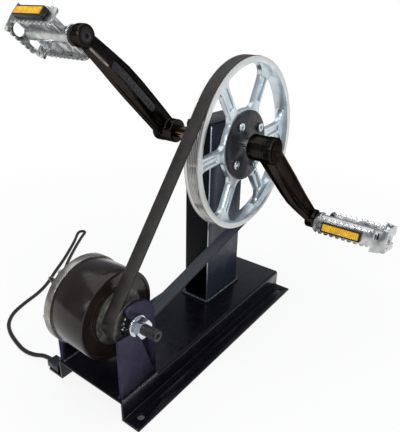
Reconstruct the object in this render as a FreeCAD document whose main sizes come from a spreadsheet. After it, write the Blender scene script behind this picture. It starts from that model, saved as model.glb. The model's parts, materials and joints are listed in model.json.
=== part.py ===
"""Pedal-driven generator on a folded steel base, in millimetres.

X runs along the base, from the generator (-X) to the post (+X). Y runs along the crank spindle, with the
belt, the drive pulley and the right crank on the -Y side. Z is up, and the floor is z = 0. The origin is
the middle of the four fixing holes, on the underside of the flanges.
"""
import FreeCAD, Part
import math
import os
import re
import Sketcher
from FreeCAD import Placement, Rotation, Vector

SIZES = {
    # Folded base and its flanges
    "base_length": 350,
    "base_width": 108,
    "base_height": 27,
    "flange_width": 23,
    "sheet_gauge": 3,
    "bend_radius": 4,
    "fixing_radius": 4.25,
    "fixing_end_gap": 15,
    "fixing_edge_gap": 11,
    # Post
    "post_inset": 102,
    "post_y": 6.5,
    "post_length": 80,
    "post_width": 40,
    "post_wall": 3,
    "post_head": 27,
    "cap_gauge": 3,
    "cap_inset": 1,
    "weld_leg": 4,
    "weld_lip": 0.5,
    # Spindle and its bearings
    "spindle_rise": 230,
    "spindle_radius": 8.5,
    "spindle_bearing_radius": 17.5,
    "spindle_bearing_width": 10,
    "housing_wall": 4,
    "housing_lip": 2.5,
    "bearing_race": 2.6,
    "ball_clearance": 0.06,
    "ball_seat": 0.8,
    "spindle_balls": 9,
    # Cranks
    "crank_length": 170,
    "crank_angle": 48,
    "crank_boss_radius": 16.5,
    "crank_boss_length": 34,
    "crank_eye_radius": 14,
    "crank_eye_width": 14,
    "right_boss_gap": 4.4,
    "left_boss_gap": 45.5,
    "right_cant": 12,
    "left_cant": 18,
    "arm_root_width": 32,
    "arm_waist_width": 31,
    "arm_belly_width": 33,
    "arm_tip_width": 24,
    "arm_root_depth": 23,
    "arm_waist_depth": 19,
    "arm_tip_depth": 13,
    "arm_waist_at": 48,
    "arm_belly_at": 105,
    "arm_chamfer": 4,
    "arm_root_inset": 1,
    "waist_cant_share": 0.15,
    "belly_cant_share": 0.6,
    "taper_side": 12.7,
    "taper_length": 24,
    "cap_recess_radius": 11.5,
    "cap_recess_depth": 7,
    "dust_cap_depth": 2.5,
    "dust_cap_crown": 0.6,
    "dust_cap_slope": 2,
    "crank_bolt_radius": 10.5,
    "crank_bolt_flange": 2,
    "crank_bolt_flats": 13,
    "crank_bolt_head_depth": 2,
    "crank_bolt_shank": 4,
    "crank_bolt_reach": 16,
    # Drive pulley
    "belt_y": -36,
    "drive_radius": 107,
    "drive_lip": 2,
    "lip_gauge": 1.6,
    "rim_depth": 5.5,
    "web_gauge": 7.5,
    "web_setback": 5,
    "hub_radius": 46.5,
    "hub_length": 16.5,
    "hub_boss_radius": 26,
    "spoke_width": 15,
    "spoke_flare": 15,
    "spoke_fillet": 12,
    "spoke_recess": 2.5,
    "spoke_border": 3,
    "spoke_hole_radius": 2.5,
    "spoke_hole_at": 54,
    "spoke_hole_angle": 60,
    "spoke_overlap": 3,
    "spokes": 6,
    "spoke_angle": 4,
    # Hub flange and its bolts
    "hub_disc_radius": 44.5,
    "hub_disc_gauge": 3.5,
    "sleeve_radius": 14,
    "hub_bolt_circle": 33,
    "hub_bolt_radius": 3,
    "hub_bolt_head": 5.5,
    "hub_bolt_head_depth": 3.6,
    "hub_bolt_floor": 1.5,
    "hub_bolt_angle": 35,
    "hub_bolts": 4,
    # Belt
    "rib_pitch": 2.34,
    "ribs": 7,
    "groove_depth": 2.1,
    "groove_half_width": 0.95,
    "groove_root": 0.2,
    "rib_clearance": 0.3,
    "rib_side_gap": 0.2,
    "rib_tip_gap": 0.3,
    "belt_backing": 2.2,
    # Generator axle, nuts and spacers
    "generator_inset": 28,
    "generator_rise": 86,
    "axle_radius": 6,
    "axle_front": 82,
    "axle_rear": 67,
    "stator_seat_radius": 9,
    "axle_bore": 3,
    "axle_bore_depth": 10,
    "wire_bore_floor": 3,
    "upright_outer": 52.5,
    "upright_gauge": 5,
    "upright_length": 54,
    "upright_inset": 29,
    "slot_clearance": 0.5,
    "jaw_setback": 13,
    "jaw_rise": 18,
    "jaw_run": 8,
    "foot_bead": 4,
    "washer_radius": 12,
    "washer_gauge": 2.5,
    "nut_flats": 19,
    "nut_depth": 10,
    "spacer_radius": 8.5,
    # Generator rotor
    "shell_radius": 51,
    "shell_wall": 5,
    "shell_front": -25,
    "shell_length": 47.5,
    "shell_face": 5,
    "face_recess": 2,
    "face_rim": 3.5,
    "cover_overhang": 1.5,
    "cover_length": 9.5,
    "cover_face": 6,
    "cover_wall": 6.5,
    "cover_seat_wall": 8,
    "cover_seat_lip": 2,
    "cover_screw_reach": 8,
    "cover_screws": 6,
    "screw_radius": 2,
    "screw_head": 3.6,
    "screw_head_depth": 2.6,
    "small_radius": 22,
    "small_flange": 4,
    "hub_face_radius": 32,
    "hub_face_gauge": 2.4,
    "hub_bore_lip": 2.5,
    "hub_screw_circle": 26.6,
    "hub_screw_radius": 1.6,
    "hub_screw_head": 2.8,
    "hub_screws": 4,
    "generator_bearing_radius": 16,
    "generator_bearing_width": 10,
    "generator_balls": 8,
    "magnet_gauge": 4,
    "magnet_length": 24,
    "magnets": 14,
    "magnet_angle": 22,
    # Generator stator
    "air_gap": 0.7,
    "core_length": 20,
    "core_seat_length": 26,
    "core_yoke_radius": 19,
    "teeth": 12,
    "tooth_width": 5,
    "shoe_gauge": 3,
    "shoe_angle": 23,
    "coil_overhang": 4,
    "coil_gauge": 2.2,
    "coil_gap": 1,
    # Pedals, measured outward from the middle of the crank's eye
    "right_pedal_tilt": 13,
    "left_pedal_tilt": 41,
    "pedal_thread_radius": 7,
    "pedal_axle_radius": 4.5,
    "pedal_collar_radius": 9,
    "pedal_collar_depth": 3,
    "pedal_end_play": 0.5,
    "pedal_axle_setback": 3,
    "seal_radius": 12,
    "seal_depth": 3.5,
    "seal_clearance": 0.3,
    "barrel_radius": 10,
    "barrel_bore": 7,
    "barrel_lip": 3,
    "barrel_lip_depth": 2.5,
    "bush_clearance": 0.05,
    "bush_length": 12,
    "cage_standoff": 8.5,
    "cage_length": 84,
    "cage_half_width": 34,
    "cage_height": 24,
    "cage_wall": 3,
    "cage_arm_setback": 10,
    "cage_arm_height": 9,
    "cage_arm_wall": 5,
    "cage_corner": 8,
    "cage_web": 4,
    "cage_web_width": 12,
    "nose_reach": 16,
    "nose_height": 33,
    "nose_half_width": 24,
    "nose_root_gain": 1,
    "tooth_pitch": 8.5,
    "tooth_depth": 3,
    "tooth_root": 5,
    "tooth_count": 9,
    "end_cap_depth": 3,
    "end_cap_slope": 1,
    "reflector_length": 56,
    "reflector_height": 14,
    "reflector_depth": 7,
    "lens_border": 2.5,
    "lens_gauge": 2,
    "lens_proud": 0.4,
    # Cable, its sleeve and its plug
    "cable_radius": 2.75,
    "sleeve_length": 12,
    "sleeve_root_radius": 5,
    "sleeve_tip_radius": 3.4,
    "plug_length": 20,
    "plug_width": 14,
    "plug_height": 9,
    "plug_end_gap": 8,
    "plug_inset": 6,
    "plug_round": 1,
    # How far cuts pass the faces they open through, and pads start inside what they join
    "overshoot": 1,
    "joint_overlap": 1,
    "rim_margin": 0.01,
}

# The cable's route, chosen by hand: down behind the generator, out to the fold, and back to the plug.
CABLE_ROUTE = [
    (-147, 90, 113),
    (-143, 98, 110),
    (-134, 108, 99),
    (-121, 124, 76),
    (-105, 144, 49),
    (-86, 171, 24),
    (-62, 201, 7),
    (-32, 235, 3),
    (3, 267, 2.8),
    (40, 295, 2.8),
    (74, 319, 2.8),
    (94, 332, 2.8),
    (105, 338, 2.8),
    (105, 346, 2.8),
    (98, 349, 2.8),
    (87, 342, 2.8),
    (69, 326, 2.8),
    (35, 301, 2.8),
    (2, 278, 2.8),
    (-29, 259, 2.8),
    (-58, 239, 2.8),
    (-85, 227, 2.8),
    (-112, 221, 2.8),
    (-138, 212, 2.8),
    (-156, 196, 2.8),
    (-166, 176, 2.8),
    (-172, 153, 2.8),
    (-176, 129, 2.8),
    (-173, 110, 3.5),
    (-167, 94, 7.5),
]

# A bend takes up this share of the shorter of its two runs.
BEND_SHARE = 0.45

# Two measures closer than this are the same.
NEAR = 1e-6

doc = FreeCAD.newDocument("pedal_generator")
sheet = doc.addObject("Spreadsheet::Sheet", "Sizes")
for row, (alias, size) in enumerate(SIZES.items(), start=1):
    sheet.set(f"A{row}", alias)
    sheet.set(f"B{row}", str(size))
    sheet.setAlias(f"B{row}", alias)
doc.recompute()
meter = doc.addObject("App::FeaturePython", "Meter")
nodes = []


# ---- Formulas, sketches and features ----------------------------------------------------------------


def formula(text):
    """Put the sheet's name in front of each of its aliases."""

    def in_sheet(word):
        return f"Sizes.{word[0]}" if word[0] in SIZES else word[0]

    return re.sub(r"[a-z][a-z0-9_]*", in_sheet, str(text))


def number(text):
    """The present value of a formula."""
    return float(meter.evalExpression(formula(text)))


def bind(item, prop, text):
    """Tie a property to a formula in the sheet's aliases."""
    item.setExpression(prop, formula(text))


def new_body(label, at=("0", "0", "0"), turned="0"):
    """A body at a place, turned about Y, that may hold several equal solids."""
    body = doc.addObject("PartDesign::Body", label)
    body.Label = label
    body.AllowCompound = True
    body.Placement = Placement(Vector(), Rotation(Vector(0, 1, 0), 1))
    for axis, text in zip("xyz", at):
        bind(body, f".Placement.Base.{axis}", text)
    bind(body, ".Placement.Rotation.Angle", turned)
    nodes.append(body)
    return body


def origin_feature(body, role):
    """One of the body's own origin planes or axes."""
    return next(item for item in body.Origin.OriginFeatures if item.Role == role)


# Each plane's normal points along (+1) or against (-1) the axis that the plane crosses.
FACING = {"XY_Plane": 1, "XZ_Plane": -1, "YZ_Plane": 1}


def new_sketch(body, plane, level, drawings):
    """A sketch on an origin plane, moved by a formula along the axis that the plane crosses."""
    sketch = body.newObject("Sketcher::SketchObject", f"{body.Label}_sketch")
    sketch.AttachmentSupport = [(origin_feature(body, plane), "")]
    sketch.MapMode = "FlatFace"
    bind(sketch, ".AttachmentOffset.Base.z", f"{FACING[plane]} * ({level})")
    for draw in drawings:
        draw(sketch)
    return sketch


def pin(sketch, edge, end, u, v):
    """Hold one end of an edge at a place given by two formulas."""
    for kind, text in (("DistanceX", u), ("DistanceY", v)):
        index = sketch.addConstraint(Sketcher.Constraint(kind, -1, 1, edge, end, number(text)))
        bind(sketch, f"Constraints[{index}]", text)


def outline(points):
    """A closed outline of straight lines through points that are pairs of formulas."""

    def draw(sketch):
        corners = [Vector(number(u), number(v)) for u, v in points]
        first = sketch.GeometryCount
        count = len(corners)
        for index, corner in enumerate(corners):
            sketch.addGeometry(Part.LineSegment(corner, corners[(index + 1) % count]), False)
        for index, (u, v) in enumerate(points):
            after = (index + 1) % count
            sketch.addConstraint(Sketcher.Constraint("Coincident", first + index, 2, first + after, 1))
            pin(sketch, first + index, 1, u, v)

    return draw


def circle(u, v, radius):
    """A circle at a place and of a radius that are formulas."""

    def draw(sketch):
        edge = sketch.addGeometry(
            Part.Circle(Vector(number(u), number(v)), Vector(0, 0, 1), number(radius)),
            False,
        )
        pin(sketch, edge, 3, u, v)
        index = sketch.addConstraint(Sketcher.Constraint("Radius", edge, number(radius)))
        bind(sketch, f"Constraints[{index}]", radius)

    return draw


def box(u0, u1, v0, v1):
    """A rectangle between four formulas."""
    return outline([(u0, v0), (u1, v0), (u1, v1), (u0, v1)])


def hexagon(across_flats):
    """A hexagon about the sketch's origin."""
    corner_radius = f"({across_flats}) / sqrt(3)"
    turns = [60 * step for step in range(6)]
    return outline([(f"{corner_radius} * cos({turn})", f"{corner_radius} * sin({turn})") for turn in turns])


def volume_of(body):
    """The body's volume so far, which is nothing before its first feature."""
    return 0 if body.Shape.isNull() else body.Shape.Volume


def checked(body, feature, grows):
    """Compute a feature, and stop if it added or took away nothing."""
    before = volume_of(body)
    body.Tip = feature
    doc.recompute()
    after = volume_of(body)
    if (grows and after <= before + NEAR) or (not grows and after >= before - NEAR):
        raise RuntimeError(f"{body.Label}: {feature.Name} changed nothing")
    return feature


def pad(body, plane, start, end, *drawings):
    """Add material between two levels along the axis that the plane crosses."""
    sketch = new_sketch(body, plane, start, drawings)
    feature = body.newObject("PartDesign::Pad", f"{body.Label}_pad")
    feature.Profile = sketch
    feature.Reversed = FACING[plane] < 0
    bind(feature, "Length", f"({end}) - ({start})")
    return checked(body, feature, True)


def pocket(body, plane, start, end, *drawings):
    """Cut between two levels along the axis that the plane crosses."""
    sketch = new_sketch(body, plane, start, drawings)
    feature = body.newObject("PartDesign::Pocket", f"{body.Label}_pocket")
    feature.Profile = sketch
    feature.Reversed = FACING[plane] > 0
    bind(feature, "Length", f"({end}) - ({start})")
    return checked(body, feature, False)


def turn(body, points, angle="360"):
    """Add what an outline of (radius, y) points sweeps about the body's Y axis, half of it each way."""
    feature = body.newObject("PartDesign::Revolution", f"{body.Label}_turning")
    feature.Profile = new_sketch(body, "XY_Plane", "0", [outline(points)])
    feature.ReferenceAxis = (origin_feature(body, "Y_Axis"), [""])
    feature.Midplane = True
    bind(feature, "Angle", angle)
    return checked(body, feature, True)


def groove(body, points):
    """Cut what an outline of (radius, y) points sweeps about the body's Y axis."""
    feature = body.newObject("PartDesign::Groove", f"{body.Label}_groove")
    feature.Profile = new_sketch(body, "XY_Plane", "0", [outline(points)])
    feature.ReferenceAxis = (origin_feature(body, "Y_Axis"), [""])
    feature.Angle = 360
    return checked(body, feature, False)


def ring_of(body, features, count, grows):
    """Repeat features round the body's Y axis."""
    pattern = body.newObject("PartDesign::PolarPattern", f"{body.Label}_ring")
    pattern.Originals = features
    pattern.Axis = (origin_feature(body, "Y_Axis"), [""])
    pattern.Angle = 360
    bind(pattern, "Occurrences", count)
    return checked(body, pattern, grows)


def row_of(body, features, axis, length, count, grows):
    """Repeat features along one of the body's axes, over a length."""
    pattern = body.newObject("PartDesign::LinearPattern", f"{body.Label}_row")
    pattern.Originals = features
    pattern.Direction = (origin_feature(body, axis), [""])
    bind(pattern, "Length", length)
    bind(pattern, "Occurrences", count)
    return checked(body, pattern, grows)


def dress_edges(body, kind, prop, size, chosen):
    """Add a fillet or a chamfer on the edges of the body that a test picks."""
    base = body.Tip
    names = [f"Edge{index}" for index, edge in enumerate(base.Shape.Edges, start=1) if chosen(edge)]
    if not names:
        raise RuntimeError(f"{body.Label}: no edge for a {kind}")
    feature = body.newObject(f"PartDesign::{kind}", f"{body.Label}_{kind.lower()}")
    feature.Base = (base, names)
    bind(feature, prop, size)
    body.Tip = feature
    doc.recompute()
    return feature


def round_edges(body, radius, chosen):
    """Fillet the edges of the body that a test picks."""
    return dress_edges(body, "Fillet", "Radius", radius, chosen)


def bevel_edges(body, size, chosen):
    """Chamfer the edges of the body that a test picks."""
    return dress_edges(body, "Chamfer", "Size", size, chosen)


def runs_along(edge, direction):
    """Whether a straight edge is parallel to a direction."""
    if edge.Curve.TypeId != "Part::GeomLine":
        return False
    return abs(abs(edge.tangentAt(edge.FirstParameter).dot(direction)) - 1) < NEAR


# ---- Places worked out from the sizes ---------------------------------------------------------------

POST_X = "(base_length / 2 - post_inset)"
GENERATOR_X = "(generator_inset - base_length / 2)"
UPRIGHT_X = "(upright_inset - base_length / 2)"
PLUG_X = "(plug_end_gap - base_length / 2)"
POST_RISE = "(spindle_rise + post_head)"
SPINDLE = (POST_X, "0", "(base_height + spindle_rise)")
AXLE = (GENERATOR_X, "0", "(base_height + generator_rise)")
FIXING_X = "(base_length / 2 - fixing_end_gap)"
FIXING_Y = "(base_width / 2 + flange_width - fixing_edge_gap)"
POST_FRONT = "(post_y - post_width / 2)"
POST_BACK = "(post_y + post_width / 2)"
BELT_HALF = "(ribs * rib_pitch / 2)"
RIM_FRONT = f"(belt_y - {BELT_HALF} - rib_clearance - lip_gauge)"
RIM_BACK = f"(belt_y + {BELT_HALF} + rib_clearance + lip_gauge)"
RIM_INSIDE = "(drive_radius - rim_depth)"
WEB_BACK = "(belt_y + web_setback)"
WEB_FRONT = f"({WEB_BACK} - web_gauge)"
HUB_BACK = f"({WEB_FRONT} + hub_length)"
DISC_FRONT = f"({WEB_FRONT} - hub_disc_gauge)"
SHELL_INSIDE = "(shell_radius - shell_wall)"
COVER_RADIUS = "(shell_radius + cover_overhang)"
COVER_SCREWS = "(shell_radius - shell_wall / 2)"
SHELL_BACK = "(shell_front + shell_length)"
COVER_BACK = f"({SHELL_BACK} + cover_length)"
SMALL_BEARING = f"({RIM_FRONT} + hub_bore_lip)"
REAR_BEARING = f"({COVER_BACK} - generator_bearing_width)"
UPRIGHT_INNER = "(upright_outer - upright_gauge)"
MAGNET_INSIDE = f"({SHELL_INSIDE} - magnet_gauge)"
CORE_RADIUS = f"({MAGNET_INSIDE} - air_gap)"

# Distances outward from y = 0 on each side: where the crank's boss starts and ends, and its eye's middle.
RIGHT = -1
LEFT = 1
BOSS_START = {
    RIGHT: f"(hub_bolt_head_depth + right_boss_gap - {DISC_FRONT})",
    LEFT: f"({POST_BACK} + left_boss_gap)",
}
BOSS_END = {side: f"({start} + crank_boss_length)" for side, start in BOSS_START.items()}
EYE = {RIGHT: f"({BOSS_END[RIGHT]} + right_cant)", LEFT: f"({BOSS_END[LEFT]} + left_cant)"}
EYE_PLACE = {
    side: (
        f"{POST_X} - {side} * crank_length * cos(crank_angle)",
        f"{side} * {EYE[side]}",
        f"base_height + spindle_rise + {side} * crank_length * sin(crank_angle)",
    )
    for side in (RIGHT, LEFT)
}
SIDE_NAME = {RIGHT: "right", LEFT: "left"}


def outward(side, near, far):
    """The two levels, in rising order, of a span that starts near the middle and ends far from it."""
    return (near, far) if side > 0 else (f"-({far})", f"-({near})")


# ---- Base and post ----------------------------------------------------------------------------------


def base_channel():
    """Folded hat section with outward flanges and four fixing holes."""
    body = new_body("base_channel")
    half = "base_width / 2"
    edge = "base_width / 2 + flange_width"
    right = [
        (edge, "0"),
        (edge, "sheet_gauge"),
        (half, "sheet_gauge"),
        (half, "base_height"),
    ]
    left = [(f"-({u})", v) for u, v in reversed(right)]
    under = [
        (f"-({edge})", "0"),
        (f"-({half}) + sheet_gauge", "0"),
        (f"-({half}) + sheet_gauge", "base_height - sheet_gauge"),
        (f"{half} - sheet_gauge", "base_height - sheet_gauge"),
        (f"{half} - sheet_gauge", "0"),
    ]
    pad(body, "YZ_Plane", "-base_length / 2", "base_length / 2", outline(right + left[:-1] + under))

    def top_bend(edge):
        along = runs_along(edge, Vector(1, 0, 0))
        return along and abs(edge.CenterOfMass.z - number("base_height")) < NEAR

    def foot_bend(edge):
        along = runs_along(edge, Vector(1, 0, 0))
        at_foot = abs(edge.CenterOfMass.z - number("sheet_gauge")) < NEAR
        return along and at_foot and abs(abs(edge.CenterOfMass.y) - number(half)) < NEAR

    round_edges(body, "bend_radius", top_bend)
    round_edges(body, "bend_radius - sheet_gauge", foot_bend)
    holes = [
        circle(f"{sx} * {FIXING_X}", f"{sy} * {FIXING_Y}", "fixing_radius")
        for sx in (-1, 1)
        for sy in (-1, 1)
    ]
    pocket(body, "XY_Plane", "-overshoot", "sheet_gauge + overshoot", *holes)


def post():
    """Rectangular tube with a closed top, bored for the bearing housing."""
    body = new_body("post_tube", (POST_X, "post_y", "base_height"))
    outside = box("-post_length / 2", "post_length / 2", "-post_width / 2", "post_width / 2")
    pad(body, "XY_Plane", "0", POST_RISE, outside)
    round_edges(body, "post_wall", lambda edge: runs_along(edge, Vector(0, 0, 1)))
    inner_x = "(post_length / 2 - post_wall)"
    inner_y = "(post_width / 2 - post_wall)"
    pocket(
        body,
        "XY_Plane",
        "-overshoot",
        f"{POST_RISE} + overshoot",
        box(f"-{inner_x}", inner_x, f"-{inner_y}", inner_y),
    )
    bore = circle("0", "spindle_rise", "spindle_bearing_radius + housing_wall")
    pocket(body, "XZ_Plane", "-post_width / 2 - overshoot", "post_width / 2 + overshoot", bore)

    cap = new_body("post_cap", (POST_X, "post_y", f"base_height + {POST_RISE}"))
    cap_x = "(post_length / 2 - cap_inset)"
    cap_y = "(post_width / 2 - cap_inset)"
    pad(cap, "XY_Plane", "0", "cap_gauge", box(f"-{cap_x}", cap_x, f"-{cap_y}", cap_y))
    round_edges(cap, "post_wall - cap_inset", lambda edge: runs_along(edge, Vector(0, 0, 1)))


def post_weld():
    """Fillet weld round the foot of the post."""
    body = new_body("post_weld", (POST_X, "post_y", "base_height"))
    reach_x = "(post_length / 2 + weld_leg)"
    reach_y = "(post_width / 2 + weld_leg)"
    inside = box("-post_length / 2", "post_length / 2", "-post_width / 2", "post_width / 2")
    pad(body, "XY_Plane", "0", "weld_leg", box(f"-{reach_x}", reach_x, f"-{reach_y}", reach_y), inside)
    top = number("weld_leg")
    far_x = number(reach_x)
    far_y = number(reach_y)

    def outer_top(edge):
        middle = edge.CenterOfMass
        outside = abs(abs(middle.x) - far_x) < NEAR or abs(abs(middle.y) - far_y) < NEAR
        return outside and abs(middle.z - top) < NEAR

    bevel_edges(body, "weld_leg - weld_lip", outer_top)


def bearing_housing():
    """Tube welded through the post, with a lip between its two bearing seats."""
    body = new_body("bearing_housing", SPINDLE)
    seat = "spindle_bearing_radius"
    outer = "spindle_bearing_radius + housing_wall"
    lip = "spindle_bearing_radius - housing_lip"
    front = f"{POST_FRONT} + spindle_bearing_width"
    back = f"{POST_BACK} - spindle_bearing_width"
    turn(
        body,
        [
            (seat, POST_FRONT),
            (outer, POST_FRONT),
            (outer, POST_BACK),
            (seat, POST_BACK),
            (seat, back),
            (lip, back),
            (lip, front),
            (seat, front),
        ],
    )


def ball_bearings(prefix, at, bore, outside, width, starts, balls):
    """Two ball bearings on one axis: outer rings, inner rings and balls, each kind in a body."""
    pitch = f"(({bore}) + ({outside})) / 2"
    ball = f"(({outside}) - ({bore})) / 2 - bearing_race + ball_seat"
    outer = new_body(f"{prefix}_outer_rings", at)
    inner = new_body(f"{prefix}_inner_rings", at)
    spheres = new_body(f"{prefix}_balls", at)
    for start in starts:
        middle = f"(({start}) + ({width}) / 2)"
        end = f"({start}) + ({width})"
        for ring, low, high in (
            (outer, f"({outside}) - bearing_race", outside),
            (inner, bore, f"({bore}) + bearing_race"),
        ):
            turn(ring, [(low, start), (high, start), (high, end), (low, end)])
        sphere = spheres.newObject("PartDesign::AdditiveSphere", f"{prefix}_ball")
        bind(sphere, "Radius", ball)
        bind(sphere, ".AttachmentOffset.Base.x", pitch)
        bind(sphere, ".AttachmentOffset.Base.y", middle)
        sphere.AttachmentSupport = [(origin_feature(spheres, "XY_Plane"), "")]
        sphere.MapMode = "FlatFace"
        checked(spheres, sphere, True)
        ring_of(spheres, [sphere], balls, True)
    for start in starts:
        middle = f"(({start}) + ({width}) / 2)"
        race_groove(outer, pitch, middle, f"{ball} + ball_clearance")
        race_groove(inner, pitch, middle, f"{ball} + ball_clearance")


def race_groove(body, pitch, middle, radius):
    """The round track that the balls run in."""
    torus = body.newObject("PartDesign::SubtractiveTorus", f"{body.Label}_track")
    bind(torus, "Radius1", pitch)
    bind(torus, "Radius2", radius)
    torus.AttachmentSupport = [(origin_feature(body, "XZ_Plane"), "")]
    torus.MapMode = "FlatFace"
    bind(torus, ".AttachmentOffset.Base.z", f"-{middle}")
    checked(body, torus, False)


# ---- Spindle and cranks -----------------------------------------------------------------------------


def crank_spindle():
    """Round spindle with a square at each end and a threaded hole in each square."""
    body = new_body("crank_spindle", SPINDLE, "crank_angle")
    front = f"-{BOSS_START[RIGHT]}"
    turn(
        body,
        [
            ("0", front),
            ("spindle_radius", front),
            ("spindle_radius", BOSS_START[LEFT]),
            ("0", BOSS_START[LEFT]),
        ],
    )
    half = "taper_side / 2"
    for side in (RIGHT, LEFT):
        start = BOSS_START[side]
        end = f"{start} + taper_length"
        pad(body, "XZ_Plane", *outward(side, start, end), box(f"-{half}", half, f"-{half}", half))
        pocket(
            body,
            "XZ_Plane",
            *outward(side, f"{end} - crank_bolt_reach", f"{end} + overshoot"),
            circle("0", "0", "crank_bolt_shank"),
        )


def crank(side):
    """Forged crank arm: a boss on the spindle, a canted arm and an eye for the pedal."""
    body = new_body(f"{SIDE_NAME[side]}_crank", SPINDLE, f"crank_angle + {90 * (side + 1)}")
    pad(
        body,
        "XZ_Plane",
        *outward(side, BOSS_START[side], BOSS_END[side]),
        circle("0", "0", "crank_boss_radius"),
    )
    eye_start = f"{EYE[side]} - crank_eye_width / 2"
    eye_end = f"{EYE[side]} + crank_eye_width / 2"
    pad(body, "XZ_Plane", *outward(side, eye_start, eye_end), circle("crank_length", "0", "crank_eye_radius"))
    cant = f"{SIDE_NAME[side]}_cant"
    stations = [
        ("0", "arm_root_width", "arm_root_depth", f"{BOSS_END[side]} - arm_root_depth / 2 - arm_root_inset"),
        (
            "arm_waist_at",
            "arm_waist_width",
            "arm_waist_depth",
            f"{BOSS_END[side]} - arm_waist_depth / 2 + waist_cant_share * {cant}",
        ),
        (
            "arm_belly_at",
            "arm_belly_width",
            "arm_waist_depth",
            f"{BOSS_END[side]} - arm_waist_depth / 2 + belly_cant_share * {cant}",
        ),
        ("crank_length", "arm_tip_width", "arm_tip_depth", EYE[side]),
    ]
    sections = []
    for at, width, depth, middle in stations:
        low, high = outward(side, f"{middle} - {depth} / 2", f"{middle} + {depth} / 2")
        sections.append(
            new_sketch(
                body,
                "YZ_Plane",
                at,
                [chamfered_box(low, high, f"{width} / 2", "arm_chamfer")],
            ),
        )
    loft = body.newObject("PartDesign::AdditiveLoft", f"{body.Label}_arm")
    loft.Profile = sections[0]
    loft.Sections = sections[1:]
    checked(body, loft, True)
    half = "taper_side / 2"
    recess = f"{BOSS_END[side]} - cap_recess_depth"
    pocket(
        body,
        "XZ_Plane",
        *outward(side, f"{BOSS_START[side]} - overshoot", f"{BOSS_END[side]} + overshoot"),
        box(f"-{half}", half, f"-{half}", half),
    )
    pocket(
        body,
        "XZ_Plane",
        *outward(side, recess, f"{BOSS_END[side]} + crank_boss_radius"),
        circle("0", "0", "cap_recess_radius"),
    )
    eye_hole = circle("crank_length", "0", "pedal_thread_radius")
    pocket(body, "XZ_Plane", *outward(side, f"{eye_start} - overshoot", f"{eye_end} + overshoot"), eye_hole)


def chamfered_box(low, high, half, bevel):
    """An eight-sided section between two levels, with a bevel at each corner."""
    return outline(
        [
            (low, f"-({half}) + {bevel}"),
            (f"{low} + {bevel}", f"-({half})"),
            (f"{high} - {bevel}", f"-({half})"),
            (high, f"-({half}) + {bevel}"),
            (high, f"{half} - {bevel}"),
            (f"{high} - {bevel}", half),
            (f"{low} + {bevel}", half),
            (low, f"{half} - {bevel}"),
        ]
    )


def crank_bolts():
    """Flanged bolts that hold the cranks on the spindle."""
    body = new_body("crank_bolts", SPINDLE, "crank_angle")
    for side in (RIGHT, LEFT):
        seat = f"({BOSS_END[side]} - cap_recess_depth)"
        flange_end = f"({seat} + crank_bolt_flange)"
        tip = f"{BOSS_START[side]} + taper_length - crank_bolt_reach"
        pad(body, "XZ_Plane", *outward(side, seat, flange_end), circle("0", "0", "crank_bolt_radius"))
        pad(
            body,
            "XZ_Plane",
            *outward(side, flange_end, f"{flange_end} + crank_bolt_head_depth"),
            hexagon("crank_bolt_flats"),
        )
        pad(body, "XZ_Plane", *outward(side, tip, seat), circle("0", "0", "crank_bolt_shank"))


def crank_dust_caps():
    """Shallow crowned caps that close the bolt recesses."""
    body = new_body("crank_dust_caps", SPINDLE)
    for side in (RIGHT, LEFT):
        end = BOSS_END[side]
        low = f"{side} * ({end} - dust_cap_depth)"
        rim = f"{side} * {end}"
        crown = f"{side} * ({end} + dust_cap_crown)"
        turn(
            body,
            [
                ("0", low),
                ("cap_recess_radius", low),
                ("cap_recess_radius", rim),
                ("cap_recess_radius - dust_cap_slope", crown),
                ("0", crown),
            ],
        )


# ---- Drive pulley and belt --------------------------------------------------------------------------


def vee_grooves(body, land_radius):
    """Equal vee grooves side by side across a belt land."""
    first = f"(belt_y - {BELT_HALF} + rib_pitch / 2)"
    root = f"{land_radius} - groove_depth"
    cut = groove(
        body,
        [
            (f"{land_radius} + rim_margin", f"{first} - groove_half_width"),
            (root, f"{first} - groove_root"),
            (root, f"{first} + groove_root"),
            (f"{land_radius} + rim_margin", f"{first} + groove_half_width"),
        ],
    )
    row_of(body, [cut], "Y_Axis", "(ribs - 1) * rib_pitch", "ribs", False)


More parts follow.
